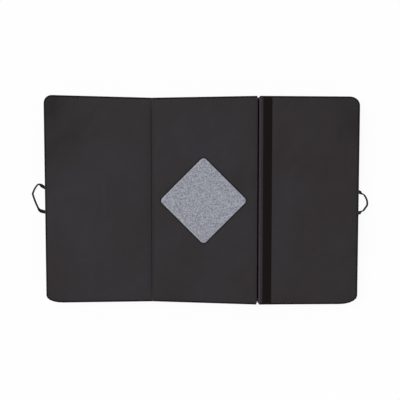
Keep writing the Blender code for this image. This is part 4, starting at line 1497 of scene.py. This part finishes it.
class CRASHPAD_OT_stage(bpy.types.Operator):
    """Set up the pale floor, the soft light and the camera."""

    bl_idname = "crashpad.stage"
    bl_label = "Stage"

    def execute(self, context):
        scene = context.scene
        scene.view_settings.view_transform = "Standard"

        shape = bmesh.new()
        bmesh.ops.create_grid(shape, x_segments=8, y_segments=8, size=FLOOR_HALF)
        mesh = bpy.data.meshes.new("floor")
        shape.to_mesh(mesh)
        shape.free()
        floor = bpy.data.objects.new("floor", mesh)
        floor.location.z = FLOOR_HEIGHT
        scene.collection.objects.link(floor)
        # Matt painted studio floor: white to the eye, and it keeps a faint shadow
        paint = bpy.data.materials.new("studio_floor_matt_paint")
        mesh.materials.append(paint)
        tree = cleared(paint)
        coat = add_node(tree, "BsdfDiffuse", ((*scene.crash_pad_colours.floor, 1),))
        white = add_node(tree, "Emission", (WHITE, 1.0))
        glow = add_node(tree, "Math", (seen_directly(tree), FLOOR_GLOW), operation="MULTIPLY")
        add_node(tree, "OutputMaterial", (add_node(tree, "MixShader", (glow, coat, white)),))

        scene.world = bpy.data.worlds.new("studio")
        tree = cleared(scene.world)
        dome = add_node(tree, "Background", (WHITE, DOME_STRENGTH))
        white = add_node(tree, "Background", (WHITE, 1.0))
        both = add_node(tree, "MixShader", (seen_directly(tree), dome, white))
        add_node(tree, "OutputWorld", (both,))

        lamp = bpy.data.lights.new("softbox", "SUN")
        lamp.energy = SUN_STRENGTH
        lamp.angle = SUN_ANGLE
        softbox = bpy.data.objects.new("softbox", lamp)
        softbox.rotation_euler = SUN_DIRECTION.to_track_quat("-Z", "Y").to_euler()
        scene.collection.objects.link(softbox)

        lens = bpy.data.cameras.new("camera")
        lens.sensor_width = CAMERA_SENSOR
        lens.lens = CAMERA_LENS
        camera = bpy.data.objects.new("camera", lens)
        away = Vector((0, math.sin(CAMERA_TILT), math.cos(CAMERA_TILT)))
        camera.location = CAMERA_TARGET + away * CAMERA_DISTANCE
        right = Vector((1, 0, 0))
        camera.rotation_euler = Matrix((right, away.cross(right), away)).transposed().to_euler()
        scene.collection.objects.link(camera)
        scene.camera = camera
        return {"FINISHED"}


OPERATORS = (
    CRASHPAD_OT_stage, CRASHPAD_OT_covers, CRASHPAD_OT_base_covers, CRASHPAD_OT_piping,
    CRASHPAD_OT_hinges, CRASHPAD_OT_fold_trim, CRASHPAD_OT_carpet, CRASHPAD_OT_handles,
    CRASHPAD_OT_shoulder_straps, CRASHPAD_OT_closing_straps, CRASHPAD_OT_stitching,
    CRASHPAD_OT_foam,
)


class CRASHPAD_PT_panel(bpy.types.Panel):
    """Lists the pad's pieces, in the order that they are made."""

    bl_idname = "CRASHPAD_PT_panel"
    bl_label = "Crash pad"
    bl_space_type = "VIEW_3D"
    bl_region_type = "UI"
    bl_category = "Crash pad"

    def draw(self, context):
        for operator in OPERATORS:
            self.layout.operator(operator.bl_idname)
        for group in (context.scene.crash_pad_sizes, context.scene.crash_pad_colours):
            for name in group.bl_rna.properties.keys():
                if name not in ("rna_type", "name"):
                    self.layout.prop(group, name)


CLASSES = (CrashPadSizes, CrashPadColours, *OPERATORS, CRASHPAD_PT_panel)


def register():
    """Adds the classes and the scene's settings."""
    for item in CLASSES:
        bpy.utils.register_class(item)
    bpy.types.Scene.crash_pad_sizes = PointerProperty(type=CrashPadSizes)
    bpy.types.Scene.crash_pad_colours = PointerProperty(type=CrashPadColours)


def unregister():
    """Removes what register added."""
    del bpy.types.Scene.crash_pad_colours
    del bpy.types.Scene.crash_pad_sizes
    for item in reversed(CLASSES):
        bpy.utils.unregister_class(item)


def main():
    """Makes the whole pad and its stage."""
    register()
    for operator in OPERATORS:
        group, name = operator.bl_idname.split(".")
        getattr(getattr(bpy.ops, group), name)()


if __name__ == "__main__":
    main()
